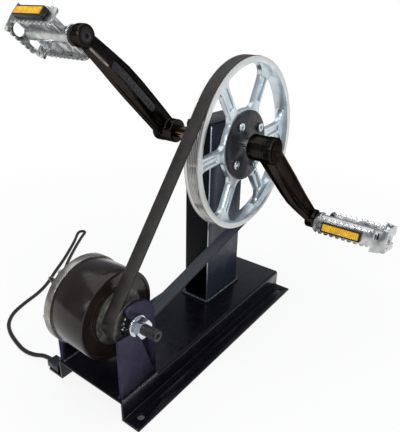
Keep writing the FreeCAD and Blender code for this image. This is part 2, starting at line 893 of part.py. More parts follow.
def drive_pulley():
    """Cast wheel: a grooved rim with two lips, a hub, and six spokes with a sunk face."""
    body = new_body("drive_pulley", SPINDLE, "-spoke_angle")
    lip = "drive_radius + drive_lip"
    turn(
        body,
        [
            (RIM_INSIDE, RIM_FRONT),
            (lip, RIM_FRONT),
            (lip, f"{RIM_FRONT} + lip_gauge"),
            ("drive_radius", f"{RIM_FRONT} + lip_gauge"),
            ("drive_radius", f"{RIM_BACK} - lip_gauge"),
            (lip, f"{RIM_BACK} - lip_gauge"),
            (lip, RIM_BACK),
            (RIM_INSIDE, RIM_BACK),
        ],
    )
    turn(
        body,
        [
            ("sleeve_radius", WEB_FRONT),
            ("hub_radius", WEB_FRONT),
            ("hub_radius", WEB_BACK),
            ("hub_boss_radius", WEB_BACK),
            ("hub_boss_radius", HUB_BACK),
            ("sleeve_radius", HUB_BACK),
        ],
    )
    half = "spoke_width / 2"
    spoke = pad(
        body,
        "XZ_Plane",
        WEB_FRONT,
        WEB_BACK,
        box("hub_radius - spoke_overlap", f"{RIM_INSIDE} + spoke_overlap", f"-{half}", half),
    )
    ring_of(body, [spoke], "spokes", True)
    inside = number(RIM_INSIDE)
    hub = number("hub_radius")

    def corner_at(radius):
        def at_radius(edge):
            middle = edge.CenterOfMass
            return runs_along(edge, Vector(0, 1, 0)) and abs(math.hypot(middle.x, middle.z) - radius) < NEAR

        return at_radius

    round_edges(body, "spoke_flare", corner_at(inside))
    round_edges(body, "spoke_fillet", corner_at(hub))
    sunk = f"{half} - spoke_border"
    start = "hub_radius + spoke_fillet"
    end = f"{RIM_INSIDE} - spoke_fillet"
    recess = pocket(
        body,
        "XZ_Plane",
        f"{WEB_FRONT} - overshoot",
        f"{WEB_FRONT} + spoke_recess",
        box(start, end, f"-({sunk})", sunk),
    )
    ring_of(body, [recess], "spokes", False)
    hole = circle(
        "spoke_hole_at * cos(spoke_hole_angle)",
        "-spoke_hole_at * sin(spoke_hole_angle)",
        "spoke_hole_radius",
    )
    pocket(body, "XZ_Plane", f"{WEB_FRONT} - overshoot", f"{WEB_BACK} + overshoot", hole)
    turned = "(hub_bolt_angle - spoke_angle)"
    bolt = circle(f"hub_bolt_circle * cos{turned}", f"hub_bolt_circle * sin{turned}", "hub_bolt_radius")
    bolt_hole = pocket(body, "XZ_Plane", f"{WEB_FRONT} - overshoot", f"{WEB_BACK} + overshoot", bolt)
    ring_of(body, [bolt_hole], "hub_bolts", False)
    vee_grooves(body, "drive_radius")


def hub_flange():
    """Steel disc and sleeve that carry the drive pulley on the spindle."""
    body = new_body("hub_flange", SPINDLE, "-hub_bolt_angle")
    turn(
        body,
        [
            ("spindle_radius", DISC_FRONT),
            ("hub_disc_radius", DISC_FRONT),
            ("hub_disc_radius", WEB_FRONT),
            ("sleeve_radius", WEB_FRONT),
            ("sleeve_radius", HUB_BACK),
            ("spindle_radius", HUB_BACK),
        ],
    )
    hole = pocket(
        body,
        "XZ_Plane",
        f"{DISC_FRONT} - overshoot",
        f"{WEB_FRONT} + overshoot",
        circle("hub_bolt_circle", "0", "hub_bolt_radius"),
    )
    ring_of(body, [hole], "hub_bolts", False)


def hub_bolts():
    """Bolts through the disc into the pulley's hub."""
    body = new_body("hub_bolts", SPINDLE, "-hub_bolt_angle")
    head_start = f"{DISC_FRONT} - hub_bolt_head_depth"
    head = pad(body, "XZ_Plane", head_start, DISC_FRONT, circle("hub_bolt_circle", "0", "hub_bolt_head"))
    shank = pad(body, "XZ_Plane", DISC_FRONT, WEB_BACK, circle("hub_bolt_circle", "0", "hub_bolt_radius"))
    socket = pocket(
        body,
        "XZ_Plane",
        f"{head_start} - overshoot",
        f"{DISC_FRONT} - hub_bolt_floor",
        circle("hub_bolt_circle", "0", "hub_bolt_radius"),
    )
    ring_of(body, [head, shank, socket], "hub_bolts", True)


def drive_belt():
    """Ribbed belt swept round both pulleys, a running clearance off their lands."""
    body = new_body("drive_belt")
    small = "(small_radius + rib_clearance)"
    large = "(drive_radius + rib_clearance)"
    path = belt_path(body, small, large)
    inner = f"({GENERATOR_X} - {small})"
    points = [
        (f"{inner} - belt_backing", f"belt_y + {BELT_HALF}"),
        (f"{inner} - belt_backing", f"belt_y - {BELT_HALF}"),
    ]
    points.append((inner, f"belt_y - {BELT_HALF}"))
    slope = "(groove_half_width - groove_root) / groove_depth"
    base = f"(groove_half_width - rib_clearance * {slope} - rib_side_gap)"
    reach = "(groove_depth - rib_tip_gap - rib_clearance)"
    tip = f"({base} - {reach} * {slope})"
    for index in range(int(SIZES["ribs"])):
        middle = f"(belt_y - {BELT_HALF} + {index + 0.5} * rib_pitch)"
        points.append((inner, f"{middle} - {base}"))
        points.append((f"{inner} + {reach}", f"{middle} - {tip}"))
        points.append((f"{inner} + {reach}", f"{middle} + {tip}"))
        points.append((inner, f"{middle} + {base}"))
    points.append((inner, f"belt_y + {BELT_HALF}"))
    pipe = body.newObject("PartDesign::AdditivePipe", "drive_belt_sweep")
    pipe.Profile = new_sketch(body, "XY_Plane", AXLE[2], [outline(points)])
    pipe.Spine = (path, [f"Edge{index}" for index in range(1, path.GeometryCount + 1)])
    pipe.Transition = "Transformed"
    checked(body, pipe, True)


def belt_path(body, small, large):
    """Closed line of the belt's inner face: straight spans tangent to an arc on each pulley."""
    sketch = new_sketch(body, "XZ_Plane", "belt_y", [])
    near = Vector(number(AXLE[0]), number(AXLE[2]))
    far = Vector(number(SPINDLE[0]), number(SPINDLE[2]))
    small_radius = number(small)
    large_radius = number(large)
    lean = math.atan2(far.y - near.y, far.x - near.x)
    wrap = math.acos((small_radius - large_radius) / near.distanceToPoint(far))
    upper = lean + wrap
    lower = lean - wrap
    up = Vector(0, 0, 1)
    arcs = [
        Part.ArcOfCircle(Part.Circle(near, up, small_radius), upper, math.pi),
        Part.ArcOfCircle(Part.Circle(near, up, small_radius), math.pi, lower + 2 * math.pi),
        Part.ArcOfCircle(Part.Circle(far, up, large_radius), lower, upper),
    ]
    above, below, big = [sketch.addGeometry(arc, False) for arc in arcs]
    bottom = sketch.addGeometry(Part.LineSegment(arcs[1].EndPoint, arcs[2].StartPoint), False)
    top = sketch.addGeometry(Part.LineSegment(arcs[2].EndPoint, arcs[0].StartPoint), False)
    pin(sketch, below, 3, GENERATOR_X, AXLE[2])
    for arc, centre, radius in (
        (above, (GENERATOR_X, AXLE[2]), small),
        (big, (POST_X, SPINDLE[2]), large),
    ):
        pin(sketch, arc, 3, *centre)
        index = sketch.addConstraint(Sketcher.Constraint("Radius", arc, number(radius)))
        bind(sketch, f"Constraints[{index}]", radius)
    sketch.addConstraint(Sketcher.Constraint("Coincident", above, 2, below, 1))
    pin_level = sketch.addConstraint(Sketcher.Constraint("DistanceY", -1, 1, above, 2, number(AXLE[2])))
    bind(sketch, f"Constraints[{pin_level}]", AXLE[2])
    for first, first_end, second, second_end in (
        (below, 2, bottom, 1),
        (bottom, 2, big, 1),
        (big, 2, top, 1),
        (top, 2, above, 1),
    ):
        sketch.addConstraint(Sketcher.Constraint("Tangent", first, first_end, second, second_end))
    doc.recompute()
    return sketch


# ---- Generator --------------------------------------------------------------------------------------


def upright(side, name):
    """Steel upright with a round head and an axle slot that opens toward the end of the base."""
    body = new_body(name, (UPRIGHT_X, "0", "base_height"))
    near, far = outward(side, UPRIGHT_INNER, "upright_outer")
    half = "upright_length / 2"
    pad(body, "XZ_Plane", near, far, box(f"-{half}", half, "0", "generator_rise"))
    pad(body, "XZ_Plane", near, far, circle("0", "generator_rise", half))
    along = "(generator_inset - upright_inset)"
    gap = "(axle_radius + slot_clearance)"
    beyond = "-upright_length"
    above = "generator_rise + upright_length"
    jaw = f"-{half} + jaw_setback"
    mouth = [
        (along, f"generator_rise - {gap}"),
        (beyond, f"generator_rise - {gap}"),
        (beyond, above),
        (jaw, above),
        (jaw, "generator_rise + jaw_rise"),
        (f"{jaw} + jaw_run", f"generator_rise + {gap}"),
        (along, f"generator_rise + {gap}"),
    ]
    pocket(body, "XZ_Plane", f"{near} - overshoot", f"{far} + overshoot", outline(mouth))
    pocket(
        body,
        "XZ_Plane",
        f"{near} - overshoot",
        f"{far} + overshoot",
        circle(along, "generator_rise", gap),
    )


def upright_welds():
    """Weld beads along the inner foot of each upright."""
    body = new_body("upright_welds", (UPRIGHT_X, "0", "base_height"))
    for side in (RIGHT, LEFT):
        root = f"{side} * {UPRIGHT_INNER}"
        toe = f"{side} * ({UPRIGHT_INNER} - foot_bead)"
        pad(
            body,
            "YZ_Plane",
            "-upright_length / 2",
            "upright_length / 2",
            outline([(root, "0"), (root, "foot_bead"), (toe, "0")]),
        )


def generator_axle():
    """Fixed axle with a stator seat, a centre hole at the front and a wire bore at the rear."""
    body = new_body("generator_axle", AXLE)
    seat = "core_seat_length / 2"
    turn(
        body,
        [
            ("0", "-axle_front"),
            ("axle_radius", "-axle_front"),
            ("axle_radius", f"-{seat}"),
            ("stator_seat_radius", f"-{seat}"),
            ("stator_seat_radius", seat),
            ("axle_radius", seat),
            ("axle_radius", "axle_rear"),
            ("0", "axle_rear"),
        ],
    )
    pocket(
        body,
        "XZ_Plane",
        "-axle_front - overshoot",
        "axle_bore_depth - axle_front",
        circle("0", "0", "axle_bore"),
    )
    pocket(
        body,
        "XZ_Plane",
        f"{seat} + wire_bore_floor",
        "axle_rear + overshoot",
        circle("0", "0", "axle_bore"),
    )


def axle_hardware():
    """Washers and nuts outside the uprights, and the spacers between the bearings and what they meet."""
    washers = new_body("axle_washers", AXLE)
    nuts = new_body("axle_nuts", AXLE)
    for side in (RIGHT, LEFT):
        washer_end = "upright_outer + washer_gauge"
        near, far = outward(side, "upright_outer", washer_end)
        pad(
            washers,
            "XZ_Plane",
            near,
            far,
            circle("0", "0", "washer_radius"),
            circle("0", "0", "axle_radius"),
        )
        near, far = outward(side, washer_end, f"{washer_end} + nut_depth")
        pad(nuts, "XZ_Plane", near, far, hexagon("nut_flats"), circle("0", "0", "axle_radius"))
    seat = "core_seat_length / 2"
    spacers = new_body("axle_spacers", AXLE)
    spans = [
        (f"-{UPRIGHT_INNER}", SMALL_BEARING),
        (f"{SMALL_BEARING} + generator_bearing_width", f"-{seat}"),
        (seat, REAR_BEARING),
        (COVER_BACK, UPRIGHT_INNER),
    ]
    for start, end in spans:
        turn(
            spacers,
            [
                ("axle_radius", start),
                ("spacer_radius", start),
                ("spacer_radius", end),
                ("axle_radius", end),
            ],
        )


def small_pulley():
    """Grooved pulley with a front lip, a bearing seat and a round face bolted to the rotor."""
    body = new_body("small_pulley", AXLE)
    lip = "small_radius + small_flange"
    seat = "generator_bearing_radius"
    step = "generator_bearing_radius - hub_bore_lip"
    face = "(shell_front - hub_face_gauge)"
    bearing_end = f"{SMALL_BEARING} + generator_bearing_width"
    turn(
        body,
        [
            (seat, RIM_FRONT),
            (lip, RIM_FRONT),
            (lip, f"{RIM_FRONT} + lip_gauge"),
            ("small_radius", f"{RIM_FRONT} + lip_gauge"),
            ("small_radius", face),
            ("hub_face_radius", face),
            ("hub_face_radius", "shell_front"),
            (step, "shell_front"),
            (step, bearing_end),
            (seat, bearing_end),
        ],
    )
    hole = pocket(
        body,
        "XZ_Plane",
        f"{face} - overshoot",
        "shell_front + overshoot",
        circle("hub_screw_circle", "0", "hub_screw_radius"),
    )
    sink = pocket(
        body,
        "XZ_Plane",
        f"{face} - overshoot",
        f"{face} + hub_face_gauge / 2",
        circle("hub_screw_circle", "0", "hub_screw_head"),
    )
    ring_of(body, [hole, sink], "hub_screws", False)
    vee_grooves(body, "small_radius")


def rotor_shell():
    """Drum of the rotor: a cup with a sunk front face."""
    body = new_body("rotor_shell", AXLE)
    bore = "generator_bearing_radius - hub_bore_lip"
    turn(
        body,
        [
            (bore, "shell_front"),
            ("shell_radius", "shell_front"),
            ("shell_radius", SHELL_BACK),
            (SHELL_INSIDE, SHELL_BACK),
            (SHELL_INSIDE, "shell_front + shell_face"),
            (bore, "shell_front + shell_face"),
        ],
    )
    low = "hub_face_radius + face_recess"
    high = "shell_radius - face_rim"
    floor = "shell_front + face_recess"
    groove(
        body,
        [
            (low, "shell_front - overshoot"),
            (high, "shell_front - overshoot"),
            (high, floor),
            (low, floor),
        ],
    )
    screw = circle("hub_screw_circle", "0", "hub_screw_radius")
    hub_hole = pocket(
        body,
        "XZ_Plane",
        "shell_front - overshoot",
        "shell_front + shell_face + overshoot",
        screw,
    )
    ring_of(body, [hub_hole], "hub_screws", False)
    thread = circle(COVER_SCREWS, "0", "screw_radius")
    cover_hole = pocket(
        body,
        "XZ_Plane",
        f"{SHELL_BACK} - cover_screw_reach",
        f"{SHELL_BACK} + overshoot",
        thread,
    )
    ring_of(body, [cover_hole], "cover_screws", False)


def rotor_cover():
    """Cast back cover of the drum, with the rear bearing's seat."""
    body = new_body("rotor_cover", AXLE)
    seat = "generator_bearing_radius"
    boss = "generator_bearing_radius + cover_seat_wall"
    inner_face = f"{COVER_BACK} - cover_face"
    boss_front = f"{REAR_BEARING} - cover_seat_lip"
    turn(
        body,
        [
            (seat, COVER_BACK),
            (COVER_RADIUS, COVER_BACK),
            (COVER_RADIUS, SHELL_BACK),
            (f"{COVER_RADIUS} - cover_wall", SHELL_BACK),
            (f"{COVER_RADIUS} - cover_wall", inner_face),
            (boss, inner_face),
            (boss, boss_front),
            (f"{seat} - cover_seat_lip", boss_front),
            (f"{seat} - cover_seat_lip", REAR_BEARING),
            (seat, REAR_BEARING),
        ],
    )
    hole = pocket(
        body,
        "XZ_Plane",
        f"{SHELL_BACK} - overshoot",
        f"{COVER_BACK} + overshoot",
        circle(COVER_SCREWS, "0", "screw_radius"),
    )
    ring_of(body, [hole], "cover_screws", False)


def rotor_screws():
    """Screws of the back cover, and countersunk screws of the small pulley's face."""
    cover = new_body("rotor_cover_screws", AXLE)
    head = pad(
        cover,
        "XZ_Plane",
        COVER_BACK,
        f"{COVER_BACK} + screw_head_depth",
        circle(COVER_SCREWS, "0", "screw_head"),
    )
    shank = pad(
        cover,
        "XZ_Plane",
        f"{SHELL_BACK} - cover_screw_reach",
        COVER_BACK,
        circle(COVER_SCREWS, "0", "screw_radius"),
    )
    ring_of(cover, [head, shank], "cover_screws", True)
    hub = new_body("small_pulley_screws", AXLE)
    face = "(shell_front - hub_face_gauge)"
    sunk = f"{face} + hub_face_gauge / 2"
    head = pad(hub, "XZ_Plane", face, sunk, circle("hub_screw_circle", "0", "hub_screw_head"))
    shank = pad(
        hub,
        "XZ_Plane",
        sunk,
        "shell_front + shell_face",
        circle("hub_screw_circle", "0", "hub_screw_radius"),
    )
    ring_of(hub, [head, shank], "hub_screws", True)


def rotor_magnets():
    """Curved magnets inside the drum."""
    body = new_body("rotor_magnets", AXLE)
    half = "magnet_length / 2"
    points = [
        (MAGNET_INSIDE, f"-{half}"),
        (SHELL_INSIDE, f"-{half}"),
        (SHELL_INSIDE, half),
        (MAGNET_INSIDE, half),
    ]
    magnet = turn(body, points, "magnet_angle")
    ring_of(body, [magnet], "magnets", True)


def stator():
    """Laminated core with shoed teeth, and a copper coil on each tooth."""
    core = new_body("stator_core", AXLE)
    half = "core_length / 2"
    seat = "stator_seat_radius"
    turn(
        core,
        [
            (seat, f"-{half}"),
            ("core_yoke_radius", f"-{half}"),
            ("core_yoke_radius", half),
            (seat, half),
        ],
    )
    shoe_start = f"({CORE_RADIUS} - shoe_gauge)"
    tooth = pad(
        core,
        "XZ_Plane",
        f"-{half}",
        half,
        box(
            "core_yoke_radius - joint_overlap",
            f"{shoe_start} + joint_overlap",
            "-tooth_width / 2",
            "tooth_width / 2",
        ),
    )
    points = [(shoe_start, f"-{half}"), (CORE_RADIUS, f"-{half}"), (CORE_RADIUS, half), (shoe_start, half)]
    shoe = turn(core, points, "shoe_angle")
    ring_of(core, [tooth, shoe], "teeth", True)

    coils = new_body("stator_coils", AXLE)
    inner = box(f"-{half}", half, "-tooth_width / 2", "tooth_width / 2")
    deep = f"({half} + coil_overhang)"
    wide = "(tooth_width / 2 + coil_gauge)"
    coil = pad(
        coils,
        "YZ_Plane",
        "core_yoke_radius + coil_gap",
        f"{shoe_start} - coil_gap",
        box(f"-{deep}", deep, f"-{wide}", wide),
        inner,
    )
    ring_of(coils, [coil], "teeth", True)


# ---- Pedals -----------------------------------------------------------------------------------------

# Distances outward from the middle of the eye.
EYE_FACE = "crank_eye_width / 2"
COLLAR_END = f"({EYE_FACE} + pedal_collar_depth)"
SEAL_START = f"({COLLAR_END} + pedal_end_play)"
BARREL_START = f"({SEAL_START} + seal_depth)"
CAGE_START = f"({EYE_FACE} + cage_standoff)"
CAGE_END = f"({CAGE_START} + cage_length)"
CAGE_MIDDLE = f"({CAGE_START} + cage_length / 2)"
ARM_START = f"({CAGE_START} + cage_arm_setback)"


def turned_outward(body, side, points):
    """Add a turning whose heights are distances outward from the eye."""
    return turn(body, [(radius, f"{side} * ({away})") for radius, away in points])


def pedal_axle(side):
    """Pedal axle: a thread in the crank's eye, a collar and a long journal."""
    body = new_body(f"{SIDE_NAME[side]}_pedal_axle", EYE_PLACE[side])
    end = f"{CAGE_END} - pedal_axle_setback"
    turned_outward(
        body,
        side,
        [
            ("0", f"-({EYE_FACE})"),
            ("pedal_thread_radius", f"-({EYE_FACE})"),
            ("pedal_thread_radius", EYE_FACE),
            ("pedal_collar_radius", EYE_FACE),
            ("pedal_collar_radius", COLLAR_END),
            ("pedal_axle_radius", COLLAR_END),
            ("pedal_axle_radius", end),
            ("0", end),
        ],
    )


def pedal_body(side, part):
    """A body in the pedal's own frame: X toward one reflector, Y along the pedal axle."""
    name = SIDE_NAME[side]
    return new_body(f"{name}_pedal_{part}", EYE_PLACE[side], f"{name}_pedal_tilt - 180")


def pedal_barrel(side):
    """Barrel with a bright inner lip, its two bushes, its rubber seal and its end cap."""
    barrel = pedal_body(side, "barrel")
    lip = "barrel_radius + barrel_lip"
    lip_end = f"{BARREL_START} + barrel_lip_depth"
    turned_outward(
        barrel,
        side,
        [
            ("barrel_bore", BARREL_START),
            (lip, BARREL_START),
            (lip, lip_end),
            ("barrel_radius", lip_end),
            ("barrel_radius", CAGE_END),
            ("barrel_bore", CAGE_END),
        ],
    )
    bushes = pedal_body(side, "bushes")
    bore = "pedal_axle_radius + bush_clearance"
    for start in (BARREL_START, f"{CAGE_END} - pedal_axle_setback - bush_length"):
        end = f"{start} + bush_length"
        turned_outward(
            bushes,
            side,
            [(bore, start), ("barrel_bore", start), ("barrel_bore", end), (bore, end)],
        )
    seal = pedal_body(side, "seal")
    loose = "pedal_axle_radius + seal_clearance"
    turned_outward(
        seal,
        side,
        [
            (loose, SEAL_START),
            ("seal_radius", SEAL_START),
            ("seal_radius", BARREL_START),
            (loose, BARREL_START),
        ],
    )
    cap = pedal_body(side, "end_cap")
    cap_end = f"{CAGE_END} + end_cap_depth"
    turned_outward(
        cap,
        side,
        [
            ("0", CAGE_END),
            ("barrel_radius", CAGE_END),
            ("barrel_radius - end_cap_slope", cap_end),
            ("0", cap_end),
        ],
    )


def pedal_cage(side):
    """Cast cage: toothed front and rear plates, two arms and a web between them, and a tall open nose."""
    body = pedal_body(side, "cage")
    plate = "cage_height / 2"
    outer = "cage_half_width"
    inner = "(cage_half_width - cage_wall)"
    near, far = outward(side, CAGE_START, CAGE_END)
    for low, high in ((inner, outer), (f"-{outer}", f"-{inner}")):
        pad(body, "XY_Plane", f"-{plate}", plate, box(low, high, near, far))
    round_edges(body, "cage_corner", lambda edge: runs_along(edge, Vector(1, 0, 0)))
    bars = [
        (ARM_START, f"{ARM_START} + cage_arm_wall", "cage_arm_height / 2"),
        (f"{CAGE_MIDDLE} - cage_web_width / 2", f"{CAGE_MIDDLE} + cage_web_width / 2", "cage_web / 2"),
        (f"{CAGE_END} - cage_arm_wall", CAGE_END, "cage_arm_height / 2"),
    ]
    reach = f"({inner} + joint_overlap)"
    for start, end, half in bars:
        near, far = outward(side, start, end)
        pad(body, "XY_Plane", f"-{half}", half, box(f"-{reach}", reach, near, far))
    cage_nose(body, side)
    near, far = outward(side, f"{CAGE_START} - overshoot", CAGE_END)
    pocket(body, "XZ_Plane", near, far, circle("0", "0", "barrel_radius"))
    cage_teeth(body, side)


def cage_nose(body, side):
    """The open end wall outside the plates, taller than they are."""
    half = "nose_height / 2"
    root = f"({CAGE_END} - joint_overlap)"
    end = f"({CAGE_END} + nose_reach)"
    wide = "cage_half_width"
    outside = [(f"-{wide}", root), ("-nose_half_width", end), ("nose_half_width", end), (wide, root)]
    gap_end = f"({end} - cage_wall)"
    slim = f"({wide} - cage_wall - nose_root_gain)"
    tight = "(nose_half_width - cage_wall)"
    inside = [(f"-{slim}", CAGE_END), (f"-{tight}", gap_end), (tight, gap_end), (slim, CAGE_END)]
    pad(body, "XY_Plane", f"-{half}", half, outline([(x, f"{side} * {y}") for x, y in outside]))
    pocket(
        body,
        "XY_Plane",
        f"-{half} - overshoot",
        f"{half} + overshoot",
        outline([(x, f"{side} * {y}") for x, y in inside]),
    )


def cage_teeth(body, side):
    """Notches that leave teeth along both edges of the front and rear plates."""
    half = "cage_height / 2"
    run = "(tooth_count - 1) * tooth_pitch"
    first = f"({side} * {CAGE_MIDDLE} - {run} / 2)"
    notches = []
    for edge in (1, -1):
        rim = f"{edge} * ({half} + rim_margin)"
        root = f"{edge} * ({half} - tooth_depth)"
        notches.append(
            outline(
                [
                    (f"{first} - tooth_root / 2", rim),
                    (first, root),
                    (f"{first} + tooth_root / 2", rim),
                ],
            ),
        )
    cut = pocket(body, "YZ_Plane", "-cage_half_width - overshoot", "cage_half_width + overshoot", *notches)
    row_of(body, [cut], "Y_Axis", run, "tooth_count", False)


def pedal_reflectors(side):
    """A dark housing and an amber lens on the front and on the rear plate."""
    housings = pedal_body(side, "reflector_housings")
    lenses = pedal_body(side, "reflector_lenses")
    near, far = outward(
        side,
        f"{CAGE_MIDDLE} - reflector_length / 2",
        f"{CAGE_MIDDLE} + reflector_length / 2",
    )
    half = "reflector_height / 2"
    start = "cage_half_width"
    end = "(cage_half_width + reflector_depth)"
    floor = f"({end} - lens_gauge)"
    opening = box(
        f"{near} + lens_border",
        f"{far} - lens_border",
        f"-({half} - lens_border)",
        f"{half} - lens_border",
    )
    whole = box(near, far, f"-{half}", half)
    for facing in (1, -1):
        low, high = (start, end) if facing > 0 else (f"-{end}", f"-{start}")
        pad(housings, "YZ_Plane", low, high, whole)
        low, high = (floor, f"{end} + overshoot") if facing > 0 else (f"-{end} - overshoot", f"-{floor}")
        pocket(housings, "YZ_Plane", low, high, opening)
        low, high = (floor, f"{end} + lens_proud") if facing > 0 else (f"-{end} - lens_proud", f"-{floor}")
        pad(lenses, "YZ_Plane", low, high, opening)


# ---- Cable ------------------------------------------------------------------------------------------


def cable_sleeve():
    """Tapered rubber sleeve where the cable leaves the axle's rear end."""
    body = new_body("cable_sleeve", AXLE)
    end = "axle_rear + sleeve_length"
    turn(
        body,
        [
            ("0", "axle_rear"),
            ("sleeve_root_radius", "axle_rear"),
            ("sleeve_tip_radius", end),
            ("0", end),
        ],
    )


def cable_plug():
    """Two-pole plug that lies on the rear flange, at the end of the base."""
    body = new_body("cable_plug", (PLUG_X, "0", "sheet_gauge"))
    start = "base_width / 2 + plug_inset"
    pad(
        body,
        "XY_Plane",
        "0",
        "plug_height",
        box("-plug_width / 2", "plug_width / 2", start, f"{start} + plug_length"),
    )
    round_edges(body, "plug_round", lambda edge: runs_along(edge, Vector(0, 1, 0)))


def cable():
    """The cable: straight runs joined by tangent arcs, each as large as its two runs allow."""
    start = Vector(number(AXLE[0]), number("axle_rear + sleeve_length"), number(AXLE[2]))
    end = Vector(
        number(PLUG_X),
        number("base_width / 2 + plug_inset + plug_length"),
        number("sheet_gauge + plug_height / 2"),
    )
    points = [start] + [Vector(*point) for point in CABLE_ROUTE] + [end]
    edges = []
    here = start
    for before, corner, after in zip(points, points[1:], points[2:]):
        into = (corner - before).normalize()
        out = (after - corner).normalize()
        trim = BEND_SHARE * min(corner.distanceToPoint(before), corner.distanceToPoint(after))
        half_turn = into.getAngle(out) / 2
        radius = trim / math.tan(half_turn)
        print(f"cable bend at {tuple(corner)}: turn {math.degrees(2 * half_turn):.0f}, radius {radius:.1f}")
        bend_in = corner - into * trim
        bend_out = corner + out * trim
        apex_way = (out - into).normalize()
        apex = corner + apex_way * (radius / math.cos(half_turn) - radius)
        edges.append(Part.LineSegment(here, bend_in).toShape())
        edges.append(Part.Arc(bend_in, apex, bend_out).toShape())
        here = bend_out
    edges.append(Part.LineSegment(here, end).toShape())
    path = Part.Wire(edges)
    section = Part.Wire(
        [Part.Circle(start, (points[1] - start).normalize(), number("cable_radius")).toShape()],
    )
    sweep = Part.BRepOffsetAPI.MakePipeShell(path)
    sweep.add(section)
    sweep.build()
    sweep.makeSolid()
    node = doc.addObject("Part::Feature", "cable")
    node.Label = "cable"
    node.Shape = sweep.shape()
    node.Placement = Placement()
    expected = math.pi * number("cable_radius") ** 2 * path.Length
    print(f"cable length {path.Length:.0f}, section times length {expected:.0f}")
    print(f"cable volume {node.Shape.Volume:.0f}")
    nodes.append(node)


# ---- The assembly -----------------------------------------------------------------------------------

base_channel()
post()
post_weld()
bearing_housing()
ball_bearings(
    "spindle_bearing",
    SPINDLE,
    "spindle_radius",
    "spindle_bearing_radius",
    "spindle_bearing_width",
    [POST_FRONT, f"({POST_BACK} - spindle_bearing_width)"],
    "spindle_balls",
)
crank_spindle()
crank_bolts()
crank_dust_caps()
drive_pulley()
hub_flange()
hub_bolts()
drive_belt()
upright(RIGHT, "front_upright")
upright(LEFT, "rear_upright")
upright_welds()
generator_axle()
axle_hardware()
small_pulley()
rotor_shell()
rotor_cover()
rotor_screws()
rotor_magnets()
stator()
ball_bearings(
    "rotor_bearing",
    AXLE,
    "axle_radius",
    "generator_bearing_radius",
    "generator_bearing_width",
    [SMALL_BEARING, REAR_BEARING],
    "generator_balls",
)
for side in (RIGHT, LEFT):
    crank(side)
    pedal_axle(side)
    pedal_barrel(side)
    pedal_cage(side)
    pedal_reflectors(side)
cable_sleeve()
cable_plug()
cable()

# ---- Check and write --------------------------------------------------------------------------------

doc.recompute()
for item in doc.Objects:
    if {"Invalid", "Error"} & set(item.State):
        raise RuntimeError(f"{item.Name} failed: {item.State}")
os.makedirs("parts", exist_ok=True)
for node in nodes:
    if node.Shape.isNull() or not node.Shape.isValid():
        raise RuntimeError(f"{node.Label} has no valid shape")
    node.Shape.exportStep(f"parts/{node.Label}.step")
    print(node.Label, len(node.Shape.Solids), round(node.Shape.Volume), node.Shape.BoundBox)
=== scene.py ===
# %% [markdown]
# # A bench pedal generator
# Two cranks turn a spoked pulley on top of a steel post, and a ribbed belt carries the turning down to a
# small drum generator. This lesson dresses the measured frame of that machine with finished pieces.
# X runs along the base and Z is up. The frame is in metres, and a helper turns the millimetres below into
# metres, so a piece goes where the frame says it is.

# %% Load the frame
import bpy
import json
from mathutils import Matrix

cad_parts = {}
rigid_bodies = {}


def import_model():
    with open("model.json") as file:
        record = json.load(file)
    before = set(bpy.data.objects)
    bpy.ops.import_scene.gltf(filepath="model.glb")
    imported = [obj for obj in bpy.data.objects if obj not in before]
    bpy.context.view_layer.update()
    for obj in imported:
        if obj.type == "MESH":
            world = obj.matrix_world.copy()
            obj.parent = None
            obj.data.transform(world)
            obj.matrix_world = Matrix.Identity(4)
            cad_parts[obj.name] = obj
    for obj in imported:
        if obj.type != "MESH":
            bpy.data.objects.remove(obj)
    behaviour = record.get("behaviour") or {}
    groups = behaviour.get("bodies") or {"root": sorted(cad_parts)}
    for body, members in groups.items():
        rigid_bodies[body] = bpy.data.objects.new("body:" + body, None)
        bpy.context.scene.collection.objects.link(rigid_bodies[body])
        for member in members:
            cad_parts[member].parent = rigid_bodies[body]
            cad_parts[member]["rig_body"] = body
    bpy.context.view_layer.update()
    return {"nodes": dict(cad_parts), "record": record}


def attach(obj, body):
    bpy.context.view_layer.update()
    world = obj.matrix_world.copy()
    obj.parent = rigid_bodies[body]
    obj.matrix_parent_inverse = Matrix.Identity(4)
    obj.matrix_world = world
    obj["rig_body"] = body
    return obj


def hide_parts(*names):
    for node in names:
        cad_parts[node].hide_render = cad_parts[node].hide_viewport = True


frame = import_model()

# %% Tools of the lesson
import json
import math

import bmesh
import bpy
from mathutils import Matrix, Vector

MM = 0.001
NEAR = 1e-5  # metres within which two places count as the same
nodes = frame["nodes"]
scene = bpy.context.scene


def mm(*values):
    """A place or a size in millimetres, as metres."""
    return Vector(values) * MM


# %% [markdown]
# ## The camera
# The camera stands in front of the belt side, higher than the crank spindle, and looks down along the
# base. Its place, its turn and its lens were measured once, so they are written as plain numbers. A camera
# could also track an empty, but fixed numbers stay the same when the pieces change.

# %% Camera
CAMERA_AT = (-0.4234, -0.3355, 0.4158)
HEADING, DIP, ROLL = -53.6, 24.3, 1.2
SENSOR_WIDTH, LENS_LENGTH = 36, 38.36

camera_data = bpy.data.cameras.new("camera")
camera_data.sensor_width = SENSOR_WIDTH
camera_data.lens = LENS_LENGTH
camera = bpy.data.objects.new("camera", camera_data)
scene.collection.objects.link(camera)
camera.location = CAMERA_AT
camera.rotation_euler = (
    Matrix.Rotation(math.radians(HEADING), 3, "Z")
    @ Matrix.Rotation(math.radians(90 - DIP), 3, "X")
    @ Matrix.Rotation(math.radians(ROLL), 3, "Z")
).to_euler()
scene.camera = camera
print("camera at", [round(v, 3) for v in camera.location], "lens", camera_data.lens)

# %% [markdown]
# ## The cable
# A thin round lead leaves the generator's hollow axle through a rubber sleeve, drops behind the drum, runs
# out along the floor, folds back and ends in a small plug on the rear flange. A mesh tube could follow
# such a path, but a curve keeps it smooth: the points below are the handles of one NURBS line of order 3,
# and the curve's own bevel makes it round. The order is set after the points, or it would stay at 2.

